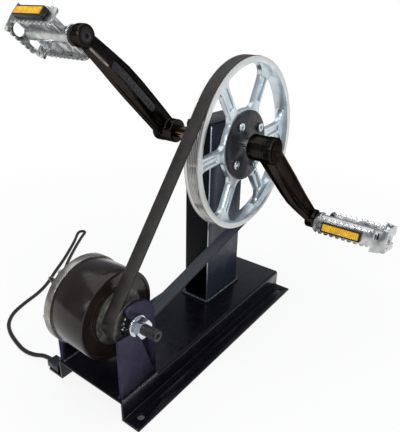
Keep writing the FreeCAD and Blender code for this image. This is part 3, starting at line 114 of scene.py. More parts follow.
# %% Cable
CABLE_START = (-147, 79, 113)
CABLE_END = (-167, 80, 7.5)
CABLE_ROUTE = [
    (-147, 90, 113), (-143, 98, 110), (-134, 108, 99), (-121, 124, 76), (-105, 144, 49),
    (-86, 171, 24), (-62, 201, 7), (-32, 235, 3), (3, 267, 2.8), (40, 295, 2.8),
    (74, 319, 2.8), (94, 332, 2.8), (105, 338, 2.8), (105, 346, 2.8), (98, 349, 2.8),
    (87, 342, 2.8), (69, 326, 2.8), (35, 301, 2.8), (2, 278, 2.8), (-29, 259, 2.8),
    (-58, 239, 2.8), (-85, 227, 2.8), (-112, 221, 2.8), (-138, 212, 2.8), (-156, 196, 2.8),
    (-166, 176, 2.8), (-172, 153, 2.8), (-176, 129, 2.8), (-173, 110, 3.5), (-167, 94, 7.5),
]
CABLE_RADIUS, CABLE_LENGTH = 2.75, 839

cable_data = bpy.data.curves.new("cable_lead", "CURVE")
cable_data.dimensions = "3D"
cable_line = cable_data.splines.new("NURBS")
handles = [CABLE_START, *CABLE_ROUTE, CABLE_END]
cable_line.points.add(len(handles) - 1)
for handle, spot in zip(cable_line.points, handles):
    handle.co = (*mm(*spot), 1)
cable_line.order_u = 3
cable_line.use_endpoint_u = True
cable_line.resolution_u = 8
cable_data.bevel_depth = CABLE_RADIUS * MM
cable_data.bevel_resolution = 5
cable_data.use_fill_caps = True
cable_lead = bpy.data.objects.new("cable_lead", cable_data)
scene.collection.objects.link(cable_lead)
print("cable handles:", len(handles), "spline length in mm:", round(cable_line.calc_length() * 1000))

# %% [markdown]
# ## Stage and light
# The machine stands on a wide, plain, pale floor, and the world behind it is white to the camera. The floor
# answers the camera, mirrors and glass partly as an even white and partly as a lit surface, so it stays
# pale without strong lamps and still takes the machine's shadow. Under the base's two flanges it is painted
# dark, as painted shade, so their bolt holes read as holes. Soft panels light the machine: a large one
# overhead, one from the camera's left and one from its right. A small weak one behind the camera only draws
# bright lines along the gloss and the metal. The last two throw no shadow.

# %% Helper for shader nodes
def add_node(tree, kind, *sources, **settings):
    """A shader node with its own settings, whose first inputs take links or values, in order."""
    item = tree.nodes.new(f"ShaderNode{kind}")
    for key, value in settings.items():
        setattr(item, key, value)
    for socket, source in zip(item.inputs, sources):
        if isinstance(source, bpy.types.NodeSocket):
            tree.links.new(source, socket)
        else:
            socket.default_value = source
    return item


# %% Floor
FLOOR_SIZE = 60
STAGE_WHITE, PAINTED_SHADE_UNDER_FLANGE = 0.9, 0.12
FLANGE_MIDDLE, FLANGE_HALF = (0, 0.066, 0), (0.1745, 0.0105, 1)
# From the near to the far distance, in metres, the even white goes from its least share to the whole
SHADOW_NEAR, SHADOW_FAR, LEAST_WHITE = 0.2, 0.9, 0.85


def stage_material():
    """Pale surface that keeps shadows and looks white to the camera and in reflections.

    The shadow fades with the distance from the machine, and under the flanges it is painted dark as shade.
    """
    material = bpy.data.materials.new("stage_white")
    material.use_nodes = True
    tree = material.node_tree
    tree.nodes.clear()

    def node(kind, *sources, **settings):
        return add_node(tree, kind, *sources, **settings).outputs

    def maths(operation, *sources):
        return node("Math", *sources, operation=operation)[0]

    rays = node("LightPath")
    mirrored = maths("MAXIMUM", rays["Is Camera Ray"], rays["Is Glossy Ray"])
    seen = maths("MAXIMUM", mirrored, rays["Is Transmission Ray"])
    spot = node("TexCoord")["Object"]
    distance = node("VectorMath", spot, operation="LENGTH")["Value"]
    fade = node("MapRange", distance, SHADOW_NEAR, SHADOW_FAR, LEAST_WHITE, 1)[0]
    # Under the base's two flanges the floor's colour is dark: painted shade that shows through the bolt
    # holes.
    steps = (("ABSOLUTE",), ("SUBTRACT", FLANGE_MIDDLE), ("ABSOLUTE",), ("DIVIDE", FLANGE_HALF))
    for operation, *value in steps:
        spot = node("VectorMath", spot, *value, operation=operation)[0]
    flange = node("SeparateXYZ", spot)
    in_the_open = maths("GREATER_THAN", maths("MAXIMUM", flange["X"], flange["Y"]), 1)
    white_share = maths("MULTIPLY", maths("MULTIPLY", seen, fade), in_the_open)
    lit = node("BsdfDiffuse", node("MapRange", in_the_open, 0, 1, PAINTED_SHADE_UNDER_FLANGE, STAGE_WHITE)[0])[0]
    even = node("Emission", (1, 1, 1, 1))[0]
    node("OutputMaterial", node("MixShader", white_share, lit, even)[0])
    return material


def deselect_all():
    """Nothing selected, so that an operator acts only on what is chosen next."""
    if bpy.context.object and bpy.context.object.mode != "OBJECT":
        bpy.ops.object.mode_set(mode="OBJECT")
    bpy.ops.object.select_all(action="DESELECT")


deselect_all()
bpy.ops.mesh.primitive_plane_add(size=FLOOR_SIZE, location=(0, 0, 0))
floor = bpy.context.object
floor.name = "floor"
floor.data.materials.append(stage_material())
print("floor:", FLOOR_SIZE, "m across")

# %% World and lamps
ROOM_COLOUR, ROOM_STRENGTH = (0.86, 0.9, 1, 1), 0.35

world = bpy.data.worlds.new("soft_room")
scene.world = world
world.use_nodes = True
sky = world.node_tree
sky.nodes.clear()
room = add_node(sky, "Background", ROOM_COLOUR, ROOM_STRENGTH).outputs[0]
white = add_node(sky, "Background", (1, 1, 1, 1), 1).outputs[0]
to_camera = add_node(sky, "LightPath").outputs["Is Camera Ray"]
add_node(sky, "OutputWorld", add_node(sky, "MixShader", to_camera, room, white).outputs[0])


def soft_panel(name, place, aim, size, power, colour=(1, 1, 1), shadow=True):
    """A square area lamp that faces a point."""
    lamp = bpy.data.lights.new(name, "AREA")
    lamp.size = size
    lamp.energy = power
    lamp.color = colour
    lamp.use_shadow = shadow
    holder = bpy.data.objects.new(name, lamp)
    scene.collection.objects.link(holder)
    holder.location = place
    holder.rotation_euler = (Vector(aim) - Vector(place)).to_track_quat("-Z", "Y").to_euler()


MIDDLE = (0, 0, 0.2)
soft_panel("overhead_panel", (0.1, 0.1, 1.5), MIDDLE, 2, 13)
soft_panel("left_panel", (-1.2, 0.2, 0.9), MIDDLE, 0.35, 4)
soft_panel("front_panel", (-0.2, -1.3, 0.6), MIDDLE, 0.35, 5, (0.88, 0.93, 1), shadow=False)
soft_panel("glint_panel", (-0.5, -0.5, 1.1), MIDDLE, 0.18, 1.5, shadow=False)

# %% [markdown]
# ## Finishes
# Each finish is a procedural material on the piece's own coordinates. A few helpers keep them short: one
# starts a material with its even values on the shader's own sockets, the others add a grain that changes
# the colour, the roughness or the surface, given by its size in millimetres and its detail. Where a piece
# has two looks, such as the turned rim of a cast pulley, a mask of its own coordinates lays a second
# colour over the first. A painted texture could do all this, but would need an image and a UV map.

# %% Helpers for finishes
finishes = {}


class Finish:
    """A material that is being made: its shader, and grains on the object's own coordinates."""

    SOCKETS = {
        "roughness": "Roughness",
        "metallic": "Metallic",
        "shine": "Specular IOR Level",
        "edge": "Specular Tint",
    }

    def __init__(self, name, colour, **sockets):
        self.material = bpy.data.materials.new(name)
        self.material.use_nodes = True
        self.tree = self.material.node_tree
        self.shader = self.tree.nodes["Principled BSDF"]
        self.shader.inputs["Base Color"].default_value = (*colour, 1)
        for socket, value in sockets.items():
            self.shader.inputs[self.SOCKETS[socket]].default_value = value
        self.own_place = self.node("TexCoord").outputs["Object"]
        finishes[name] = self.material

    def node(self, kind, *sources, **settings):
        """A new node in this material's tree."""
        return add_node(self.tree, kind, *sources, **settings)

    def grain(self, size, detail, stretch=(1, 1, 1)):
        """Cloudy grain whose spots are about a size in millimetres, stretched along the axes."""
        turn = self.node("Mapping", self.own_place)
        turn.inputs["Scale"].default_value = tuple(1 / (size * MM * part) for part in stretch)
        cloud = self.node("TexNoise", turn.outputs[0])
        cloud.inputs["Scale"].default_value = 1
        cloud.inputs["Detail"].default_value = detail
        return cloud.outputs["Fac"]

    def grained(self, source):
        """A grain from its size, its detail and perhaps its stretch, or a source as it is."""
        return self.grain(*source) if isinstance(source, tuple) else source

    def ramp(self, source, low, high, start=0.35, end=0.65):
        """A value brought from the span between start and end to the span between low and high."""
        return self.node("MapRange", source, start, end, low, high).outputs[0]

    def maths(self, operation, *sources):
        """Values or numbers that are added, multiplied or otherwise combined."""
        return self.node("Math", *sources, operation=operation).outputs[0]

    def axes(self):
        """The object's own X, Y and Z as separate values."""
        return self.node("SeparateXYZ", self.own_place).outputs

    def tint(self, source, colours, start=0.3, end=0.7):
        """The base colour follows a grain through two colours."""
        colour = self.node("ValToRGB", self.grained(source))
        for stop, at, value in zip(colour.color_ramp.elements, (start, end), colours):
            stop.position = at
            stop.color = (*value, 1)
        self.tree.links.new(colour.outputs["Color"], self.shader.inputs["Base Color"])

    def over(self, mask, colour):
        """Where a mask is one, another colour lies over the tint."""
        base = self.shader.inputs["Base Color"]
        below = base.links[0].from_socket
        mix = self.node("Mix", data_type="RGBA")
        mix.inputs["B"].default_value = (*colour, 1)
        self.tree.links.new(mask, mix.inputs["Factor"])
        self.tree.links.new(below, mix.inputs["A"])
        self.tree.links.new(mix.outputs["Result"], base)

    def rough(self, source, low, high, start=0.35, end=0.65):
        """The roughness follows a grain."""
        span = self.ramp(self.grained(source), low, high, start, end)
        self.tree.links.new(span, self.shader.inputs["Roughness"])

    def bump(self, source, depth, strength=1.0):
        """The surface follows a grain, to a depth in millimetres."""
        item = self.node("Bump")
        item.inputs["Distance"].default_value = depth * MM
        item.inputs["Strength"].default_value = strength
        self.tree.links.new(self.grained(source), item.inputs["Height"])
        self.tree.links.new(item.outputs["Normal"], self.shader.inputs["Normal"])


# %% [markdown]
# ### Paints
# The frame is steel under black enamel, and its two uprights have a bluer, flatter coat. Enamel is never
# quite even, so its gloss changes over a few millimetres. The coats of the crank arms and the uprights
# mirror more than they scatter, and a metal with a nearly black colour gives that look. The post's left side
# is painted darker, as painted shade, and its near corner has a narrow pale band, a painted highlight.

# %% Paint finishes
paint = Finish("black_paint", (0.004, 0.004, 0.006), roughness=0.25, shine=0.2)
paint.tint((40, 4), ((0.003, 0.003, 0.005), (0.006, 0.006, 0.009)))
paint.rough((14, 4), 0.16, 0.32)
paint.bump((5, 2), 0.006, 0.3)

blue_edge = (0.4, 0.4, 0.5, 1)
blue_paint = Finish("upright_paint", (0.05, 0.046, 0.072), roughness=0.4, metallic=1.0, edge=blue_edge)
blue_paint.tint((22, 4), ((0.042, 0.039, 0.063), (0.058, 0.054, 0.082)))
blue_paint.rough((9, 4), 0.34, 0.48)
blue_paint.bump((4, 2), 0.02, 0.35)

# The post's left side ends here on X, and its near corner on X and Y added up
SIDE_END, SIDE_GONE = 33.6, 34.8
CORNER_END, CORNER_GONE = 21.3, 21.5
post_paint = Finish("post_paint", (0.017, 0.024, 0.038), roughness=0.3, shine=0.25)
post_paint.tint((40, 4), ((0.013, 0.019, 0.03), (0.021, 0.029, 0.045)))
post_x, post_y, _ = post_paint.axes()
# The post's left side is painted darker than its front, as painted shade.
side = post_paint.ramp(post_x, 1, 0, SIDE_END * MM, SIDE_GONE * MM)
post_paint.over(side, (0.008, 0.008, 0.009))
# A narrow pale band down the near corner is a painted highlight.
x_and_y = post_paint.maths("ADD", post_x, post_y)
corner = post_paint.ramp(x_and_y, 1, 0, CORNER_END * MM, CORNER_GONE * MM)
post_paint.over(corner, (0.4, 0.43, 0.47))
# Both painted bands are metal, so the shaded side mirrors very little and the highlight band brightly.
post_paint.tree.links.new(post_paint.maths("MAXIMUM", side, corner), post_paint.shader.inputs["Metallic"])
post_paint.rough((14, 4), 0.26, 0.38)
post_paint.bump((5, 2), 0.006, 0.3)

gloss = Finish("gloss_black", (0.03, 0.028, 0.027), roughness=0.2, metallic=1.0, edge=(0.4, 0.4, 0.4, 1))
gloss.tint((30, 3), ((0.018, 0.0165, 0.0155), (0.037, 0.03, 0.026)))
gloss.rough((8, 4), 0.14, 0.26)
gloss.bump((5, 2), 0.04, 0.4)

panel_grey = Finish("panel_grey", (0.02, 0.019, 0.018), roughness=0.25, shine=0.6)
panel_grey.tint((3, 4), ((0.01, 0.0095, 0.009), (0.028, 0.026, 0.025)))
panel_grey.rough((2, 3), 0.16, 0.32)
panel_grey.bump((1.2, 2), 0.1, 0.6)

brown_gloss = Finish("brown_gloss", (0.012, 0.008, 0.006), roughness=0.18, shine=0.35)
brown_gloss.tint((26, 3), ((0.007, 0.005, 0.004), (0.02, 0.013, 0.009)))
brown_gloss.rough((9, 4), 0.12, 0.24)
brown_gloss.bump((8, 2), 0.03, 0.35)

weld = Finish("weld_bead", (0.012, 0.012, 0.014), roughness=0.2, shine=0.8)
weld.tint((5, 3), ((0.006, 0.006, 0.008), (0.026, 0.026, 0.03)))
weld.rough((2, 3), 0.1, 0.24)
weld.bump((1.2, 2), 0.04, 0.5)

print("finishes so far:", len(finishes))

# %% [markdown]
# ### Metals
# The pulley is cast and then turned on its rim, so the spokes are cloudy and the rim is warmer and duller,
# with painted shade in the bottoms of its grooves that draws dark lines. Bolts and nuts are zinc plated, the
# spindle is bare steel that is bright toward the pulley and dark brown toward the left crank, and the parts
# inside the generator are copper, magnets and bearing steel. They differ in colour, in how matt they are and
# in the size of their grain, so one recipe serves all.

# %% Metals of the drive pulley
SPINDLE_AXIS = (73, 257)
RIM_INSIDE, GROOVE_TOP, GROOVE_BOTTOM = 104, 106.9, 105.4
LAND_MIDDLE, LAND_HALF, LAND_FADE = -36, 8.2, 0.2


def turned_band(finish, axis, inside, outside):
    """A mask that goes from zero to one between two distances from an axis along Y, in millimetres."""
    along = finish.axes()
    legs = [finish.maths("SUBTRACT", along[name], middle * MM) for name, middle in zip("XZ", axis)]
    radius = finish.node("VectorMath", finish.node("CombineXYZ", *legs).outputs[0], operation="LENGTH")
    return finish.ramp(radius.outputs["Value"], 0, 1, inside * MM, outside * MM)


ALLOY = ((0.54, 0.62, 0.66), (0.74, 0.81, 0.84))
cast = Finish("cast_alloy", ALLOY[0], roughness=0.36, metallic=0.85)
cast.tint((16, 2), ALLOY)
cast.rough((9, 2), 0.2, 0.36)
cast.bump((9, 2), 0.01, 0.3)

turned = Finish("turned_rim", ALLOY[0], roughness=0.3, metallic=0.85)
turned.tint((16, 2), ALLOY)
rim_band = turned_band(turned, SPINDLE_AXIS, RIM_INSIDE, RIM_INSIDE + 1)
turned.over(rim_band, (0.72, 0.705, 0.675))
# Deep in the rim's grooves, on the belt's land, a dark colour is painted shade that draws fine dark lines.
low_in_groove = turned_band(turned, SPINDLE_AXIS, GROOVE_TOP, GROOVE_BOTTOM)
off_middle = turned.maths("ABSOLUTE", turned.maths("SUBTRACT", turned.axes()["Y"], LAND_MIDDLE * MM))
on_land = turned.ramp(off_middle, 1, 0, LAND_HALF * MM, (LAND_HALF + LAND_FADE) * MM)
grooves = turned.maths("MULTIPLY", turned.maths("MULTIPLY", rim_band, low_in_groove), on_land)
turned.over(grooves, (0.1, 0.1, 0.105))
turned.rough(rim_band, 0.28, 0.45, 0, 1)
turned.bump((9, 2), 0.005, 0.3)
print("finishes so far:", len(finishes))

# %% Metals of the crank set and the pedals
pedal_metal = Finish("pedal_alloy", (0.7, 0.7, 0.68), roughness=0.2, metallic=1.0)
pedal_metal.tint((14, 2), ((0.36, 0.37, 0.38), (0.64, 0.64, 0.62)))
pedal_metal.rough((6, 3), 0.16, 0.34)
pedal_metal.bump((7, 2), 0.05, 0.4)

dark_metal = Finish("dark_steel", (0.03, 0.03, 0.033), roughness=0.36, metallic=0.5, shine=0.3)
dark_metal.tint((12, 5), ((0.02, 0.02, 0.022), (0.045, 0.045, 0.05)))
dark_metal.rough((4, 4), 0.28, 0.44)
dark_metal.bump((1.2, 3), 0.02, 0.4)

zinc = Finish("zinc_plate", (0.7, 0.76, 0.79), roughness=0.2, metallic=1.0)
zinc.tint((9, 3), ((0.55, 0.62, 0.67), (0.84, 0.87, 0.88)))
zinc.rough((4, 3), 0.14, 0.28)
zinc.bump((3, 2), 0.02, 0.4)

bright = Finish("bearing_steel", (0.7, 0.7, 0.7), roughness=0.2, metallic=1.0)
bright.tint((6, 3), ((0.6, 0.6, 0.6), (0.78, 0.78, 0.77)))
bright.rough((2, 3), 0.14, 0.28)
bright.bump((0.6, 3), 0.01, 0.4)

BRIGHT_END, DARK_START = 20, 30
spindle_steel = Finish("spindle_steel", (0.6, 0.58, 0.55), roughness=0.25, metallic=1.0)
# The spindle's colour goes from bright steel toward the pulley to dark brown toward the left crank.
dark_toward_left_crank = spindle_steel.ramp(spindle_steel.axes()["Y"], 0, 1, BRIGHT_END * MM, DARK_START * MM)
spindle_steel.tint(dark_toward_left_crank, ((0.7, 0.7, 0.7), (0.16, 0.1, 0.06)), 0, 1)
spindle_steel.rough((3, 3), 0.16, 0.34)
spindle_steel.bump((0.8, 3), 0.01, 0.4)

print("finishes so far:", len(finishes))

# %% Metals of the generator
copper = Finish("copper_wire", (0.7, 0.3, 0.14), roughness=0.3, metallic=0.9)
copper.tint((3, 3), ((0.55, 0.2, 0.09), (0.8, 0.38, 0.2)))
copper.bump((0.8, 1, (1, 1, 8)), 0.2, 0.8)

magnet = Finish("magnet", (0.3, 0.31, 0.32), roughness=0.35, metallic=0.8)
magnet.tint((4, 3), ((0.22, 0.23, 0.24), (0.38, 0.39, 0.4)))
magnet.rough((2, 3), 0.25, 0.45)

bronze = Finish("bush_bronze", (0.5, 0.32, 0.12), roughness=0.4, metallic=0.9)
bronze.tint((2, 4), ((0.4, 0.24, 0.08), (0.6, 0.4, 0.18)))
bronze.bump((0.5, 3), 0.03, 0.6)

cover = Finish("cover_alloy", (0.2, 0.19, 0.17), roughness=0.32, metallic=0.9)
cover.tint((14, 5), ((0.17, 0.16, 0.15), (0.42, 0.4, 0.37)))
cover.rough((4, 4), 0.24, 0.4)
cover.bump((1.5, 3), 0.03, 0.5)

dull_cast = Finish("dull_cast", (0.06, 0.058, 0.05), roughness=0.45, metallic=0.6)
dull_cast.tint((5, 5), ((0.03, 0.03, 0.027), (0.12, 0.115, 0.1)))
dull_cast.rough((2, 4), 0.35, 0.55)
dull_cast.bump((1.4, 4), 0.12, 0.6)
print("finishes so far:", len(finishes))

# %% [markdown]
# ### Rubbers and plastics
# Rubber and moulded plastic scatter light, so they have no metal share and a fine, shallow grain. The belt's
# rib flats get a painted highlight and its groove bottoms painted shade, from a number written on each face
# when the belt is made.

# %% Rubbers and plastics
belt = Finish("belt_rubber", (0.035, 0.034, 0.032), roughness=0.5, shine=0.35)
belt.tint((9, 5), ((0.014, 0.012, 0.0105), (0.029, 0.026, 0.022)))
painted_rib_light_and_shade = belt.node("Attribute", attribute_name="rib").outputs["Fac"]
# Rib flats get a lighter, bluer tone as a painted highlight, and groove bottoms a darker one as painted
# shade.
belt.over(belt.ramp(painted_rib_light_and_shade, 0, 1, 0, 1), (0.05, 0.055, 0.07))
belt.over(belt.ramp(painted_rib_light_and_shade, 0, 1, 0, -1), (0.006, 0.006, 0.006))
belt.rough((1.5, 4), 0.42, 0.6)
belt.bump((0.8, 2), 0.04, 0.5)

rubber = Finish("soft_rubber", (0.012, 0.012, 0.012), roughness=0.5, shine=0.4)
rubber.tint((6, 4), ((0.008, 0.008, 0.008), (0.018, 0.018, 0.018)))
rubber.rough((2, 3), 0.42, 0.6)
rubber.bump((0.8, 3), 0.04, 0.5)

jacket = Finish("cable_jacket", (0.016, 0.011, 0.008), roughness=0.38, shine=0.4)
jacket.tint((14, 4), ((0.01, 0.007, 0.005), (0.026, 0.018, 0.013)))
jacket.rough((3, 3), 0.3, 0.46)
jacket.bump((1.6, 3), 0.04, 0.5)

plastic = Finish("black_plastic", (0.008, 0.008, 0.009), roughness=0.32, shine=0.35)
plastic.tint((8, 4), ((0.005, 0.005, 0.006), (0.013, 0.013, 0.015)))
plastic.rough((2, 3), 0.26, 0.42)
plastic.bump((0.8, 3), 0.03, 0.4)

amber = Finish("amber_lens", (0.9, 0.5, 0.01), roughness=0.2, shine=0.5)
amber.tint((5, 3), ((0.78, 0.36, 0.004), (1, 0.66, 0.02)))
amber.bump((1.5, 1), 0.15, 0.5)
print("finishes:", sorted(finishes))

# %% [markdown]
# ## A first coat for every node
# The frame's own nodes keep their shape and get the finish of what they are made of. The record says which
# slot each node belongs to, so a loop can do it. Later cells replace the nodes that need more shape.

# %% Coat the nodes
def coat(item, name):
    """One finish all over an object."""
    item.data.materials.clear()
    item.data.materials.append(finishes[name])


for part in frame["record"]["subparts"]:
    coat(nodes[part["node"]], part["material_slot"])
print("coated nodes:", len(nodes))

# %% [markdown]
# ## Modelling tools
# Every new piece starts as a primitive, is shaped in edit mode and is finished with modifiers. An operator
# acts on whatever is selected, so these helpers deselect everything and then pick faces or edges by their
# place. A finished piece keeps its object at the origin, with its place in the mesh.

# %% Start and pick
def add_start(kind, name, **options):
    """A primitive as the start of a piece."""
    deselect_all()
    getattr(bpy.ops.mesh, f"primitive_{kind}_add")(**options)
    piece = bpy.context.object
    piece.name = name
    piece.data.name = name
    return piece


def hold(piece):
    """Only this piece selected and active."""
    deselect_all()
    piece.select_set(True)
    bpy.context.view_layer.objects.active = piece


def pick(piece, kind, test=None):
    """Go into edit mode with only the faces, edges or vertices that a test chooses selected, or all."""
    hold(piece)
    bpy.ops.object.mode_set(mode="EDIT")
    bpy.ops.mesh.select_mode(type=kind)
    bpy.ops.mesh.select_all(action="DESELECT")
    body = bmesh.from_edit_mesh(piece.data)
    for item in {"FACE": body.faces, "EDGE": body.edges, "VERT": body.verts}[kind]:
        item.select_set(test is None or bool(test(item)))
    bmesh.update_edit_mesh(piece.data)


# %% Shape in edit mode
def edit_done():
    """Leave edit mode, so that the mesh holds what the operators made."""
    bpy.ops.object.mode_set(mode="OBJECT")


def bevel_edges(piece, test, width, segments=2, **options):
    """Bevel the edges that a test chooses, to a width in millimetres."""
    pick(piece, "EDGE", test)
    bpy.ops.mesh.bevel(offset=width * MM, segments=segments, affect="EDGES", **options)
    edit_done()


def extrude_by(*step):
    """Extrude what is selected by a step in millimetres."""
    bpy.ops.mesh.extrude_region_move(TRANSFORM_OT_translate={"value": mm(*step)})


# %% Place, modify and join
def place(piece):
    """Put the object's own place, turn and size into its mesh."""
    hold(piece)
    bpy.ops.object.transform_apply(location=True, rotation=True, scale=True)


def modify(piece, kind, **settings):
    """Add a modifier, set it and apply it."""
    hold(piece)
    modifier = piece.modifiers.new(kind.lower(), kind)
    for key, value in settings.items():
        setattr(modifier, key, value)
    bpy.ops.object.modifier_apply(modifier=modifier.name)


def cut(piece, tool, operation="DIFFERENCE"):
    """Cut a tool out of a piece, or join or cross it, and remove the tool."""
    modify(piece, "BOOLEAN", object=tool, operation=operation, solver="EXACT")
    bpy.data.objects.remove(tool, do_unlink=True)


def join(name, parts):
    """Several parts as one piece."""
    hold(parts[0])
    for part in parts[1:]:
        part.select_set(True)
    bpy.ops.object.join()
    parts[0].name = name
    parts[0].data.name = name
    return parts[0]


# %% Last steps of a piece
MERGE = 1e-6  # metres within which two corners are doubles


def clean(piece):
    """Merge the mesh's doubles and make its faces look outward."""
    pick(piece, "VERT")
    bpy.ops.mesh.remove_doubles(threshold=MERGE)
    bpy.ops.mesh.normals_make_consistent(inside=False)
    edit_done()


def dress(piece, finish, body, stands_for, smooth):
    """Smooth the soft edges, coat the piece and let it ride on its body, for the nodes it stands for."""
    hold(piece)
    bpy.ops.object.shade_smooth_by_angle(angle=math.radians(smooth))
    coat(piece, finish)
    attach(piece, body)
    if stands_for:
        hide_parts(*stands_for)
    print(piece.name, len(piece.data.polygons), "faces")
    return piece


def finish_piece(piece, finish, body, *stands_for, smooth=35):
    """The last steps of a new piece."""
    clean(piece)
    place(piece)
    return dress(piece, finish, body, stands_for, smooth)


# %% [markdown]
# ## Eased edges
# Sheet steel, castings and turned parts never have perfectly sharp edges: a worn or dressed edge is what
# catches the light. Where the measured solid already has the right form, a copy of it is merged into a clean
# mesh, its flat faces are joined up, and a narrow bevel goes along every sharp edge. Modelling each of
# these plain parts again from a primitive would give the same faces.

# %% Helper for eased copies
FLAT = 0.3  # degrees between two faces that count as one plane
body_of_node = {name: item["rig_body"] for name, item in nodes.items()}


def sharp(angle, where=None):
    """A test for edges that are sharper than an angle, and lie where a second test on their middle says."""

    def test(edge):
        if len(edge.link_faces) != 2 or edge.calc_face_angle() < math.radians(angle):
            return False
        return where is None or where((edge.verts[0].co + edge.verts[1].co) / 2 / MM)

    return test


def copy_of(source, name):
    """A second object with its own copy of a mesh."""
    piece = bpy.data.objects.new(name, source.data.copy())
    scene.collection.objects.link(piece)
    return piece


def join_flat_faces():
    """Make one face of neighbours that lie in one plane, among what is selected."""
    bpy.ops.mesh.dissolve_limited(angle_limit=math.radians(FLAT))
    edit_done()


def eased(node, finish, width, where=None, segments=2):
    """A copy of a node with a narrow bevel on its sharp edges, all over or where a test on a place says."""
    piece = copy_of(nodes[node], f"{node}_eased")
    clean(piece)
    pick(piece, "VERT", lambda vertex: where is None or where(vertex.co / MM))
    join_flat_faces()
    bevel_edges(piece, sharp(30, where), width, segments, clamp_overlap=True)
    return dress(piece, finish, body_of_node[node], (node,), 40)


# %% Eased frame parts
GENERATOR_AXIS, SMALL_RIM_INSIDE = (-147, 113), 24


def off_axis(at, axis):
    """How far a place lies from an axis along Y."""
    return (at.xz - Vector(axis)).length


eased("base_channel", "black_paint", 0.6)
eased("post_tube", "post_paint", 0.6)
eased("post_cap", "black_paint", 0.8)
eased("bearing_housing", "black_paint", 0.6)
eased("front_upright", "upright_paint", 0.7)
eased("rear_upright", "upright_paint", 0.7)
eased("drive_pulley", "turned_rim", 0.5, where=lambda at: off_axis(at, SPINDLE_AXIS) < RIM_INSIDE)
eased("hub_flange", "dark_steel", 0.5)
eased("rotor_shell", "brown_gloss", 0.8)
eased("rotor_cover", "cover_alloy", 1.2)
eased("small_pulley", "dull_cast", 0.4, where=lambda at: off_axis(at, GENERATOR_AXIS) > SMALL_RIM_INSIDE)

# %% [markdown]
# ## The crank arms
# A bicycle crank is one forging: a heavy round boss on the spindle, an arm that swells and thins, and an
# eye that holds the pedal's axle. The arm starts as a thin block whose far face is extruded from station to
# station, each with its own width, depth and offset, and its long edges are rounded. Boss and eye are
# cylinders. A fine voxel remesh melts the three together, and a few rounds of smoothing give the soft
# skin of a painted forging, which is easier than blending the corners by hand. The rings, the cap's seat
# and the eye's bore are cut after that, so they stay crisp.

# %% Sizes of the crank arms
CRANK_ANGLE = {"right": 48, "left": 228}
CRANK_THROW = 170
# Along the arm, width, depth and the middle of the depth, all outward along the spindle
ARM_STATIONS = {
    "right": (
        (0, 33, 23, 71.5), (24, 34, 21, 73.4), (48, 35, 19, 76), (78, 35.5, 19, 79), (105, 34, 18.5, 81.9),
        (130, 29.5, 16, 87), (150, 26, 12.5, 92.4), (170, 22, 9, 97.5),
    ),
    "left": (
        (0, 33, 23, 93.5), (24, 34, 21, 96), (48, 35, 19, 99), (78, 35.5, 19, 103.2), (105, 34, 18.5, 107.5),
        (130, 29.5, 16, 113.6), (150, 26, 12.5, 119.6), (170, 22, 9, 125.5),
    ),
}
ARM_ROUNDING = 42  # percent of the face beside the edge
BOSS_SPAN = {"right": (50, 84), "left": (72, 106)}
BOSS_RADIUS, COLLAR_RADIUS, COLLAR_LENGTH = 16.5, 17, 12
EYE_MIDDLE = {"right": 96, "left": 124}
EYE_RADIUS, EYE_HALF = 14.2, 7
EYE_BORE, EYE_RING = 7.2, 10.2
CAP_SEAT, CAP_SEAT_DEPTH, BOSS_RING = 11.5, 2.5, 14
OUTWARD = {"right": -1, "left": 1}


# %% Blocks and bars
def block(name, size, at, turn=0):
    """A box round its middle, turned about Y by an angle in degrees."""
    turned_by = (0, math.radians(turn), 0)
    piece = add_start("cube", name, size=1, location=mm(*at), rotation=turned_by, scale=mm(*size))
    place(piece)
    return piece


def end_face(at):
    """A test for the face that closes a bar along X at a place in millimetres."""
    return lambda face: face.normal.x > 0.9 and abs(face.calc_center_median().x - at * MM) < NEAR


def turned_bar(name, radius, start, end, at=(0, 0), round_edge=0.0, sides=64):
    """A round bar along Y between two places, with rounded rims."""
    bar = add_start(
        "cylinder", name, vertices=sides, radius=radius * MM, depth=abs(end - start) * MM,
        location=mm(at[0], (start + end) / 2, at[1]), rotation=(math.pi / 2, 0, 0),
    )
    place(bar)
    if round_edge:
        bevel_edges(bar, sharp(60), round_edge, 3)
    return bar


# %% Crank blanks
SKIN_VOXEL, SMOOTHING_ROUNDS = 0.8, 6


def long_edge(edge):
    """An edge that runs along the arm."""
    first, last = (vertex.co for vertex in edge.verts)
    return abs(first.x - last.x) > 2 * MM


def crank_blank(side):
    """Arm, boss and eye along X, melted into one soft form."""
    out = OUTWARD[side]
    stations = ARM_STATIONS[side]
    at, width, depth, middle = stations[0]
    arm = block(f"{side}_arm", (1, depth, width), (at, out * middle, 0))
    at += 0.5
    for next_at, next_width, next_depth, next_middle in stations[1:]:
        pick(arm, "FACE", end_face(at))
        extrude_by(next_at - at, out * (next_middle - middle), 0)
        bpy.ops.transform.resize(
            value=(1, next_depth / depth, next_width / width),
            center_override=mm(next_at, out * next_middle, 0),
        )
        at, width, depth, middle = next_at, next_width, next_depth, next_middle
    bevel_edges(arm, long_edge, 0, 6, offset_type="PERCENT", offset_pct=ARM_ROUNDING)
    inner, outer = (out * end for end in BOSS_SPAN[side])
    boss = turned_bar(f"{side}_boss", BOSS_RADIUS, inner, outer, round_edge=1.2)
    collar = turned_bar(f"{side}_collar", COLLAR_RADIUS, outer - out * COLLAR_LENGTH, outer, round_edge=1.2)
    eye_in, eye_out = (out * (EYE_MIDDLE[side] + half) for half in (-EYE_HALF, EYE_HALF))
    eye = turned_bar(f"{side}_eye", EYE_RADIUS, eye_in, eye_out, (CRANK_THROW, 0), 2)
    crank = join(f"{side}_crank_arm", [arm, boss, collar, eye])
    modify(crank, "REMESH", mode="VOXEL", voxel_size=SKIN_VOXEL * MM)
    modify(crank, "SMOOTH", factor=0.5, iterations=SMOOTHING_ROUNDS)
    return crank


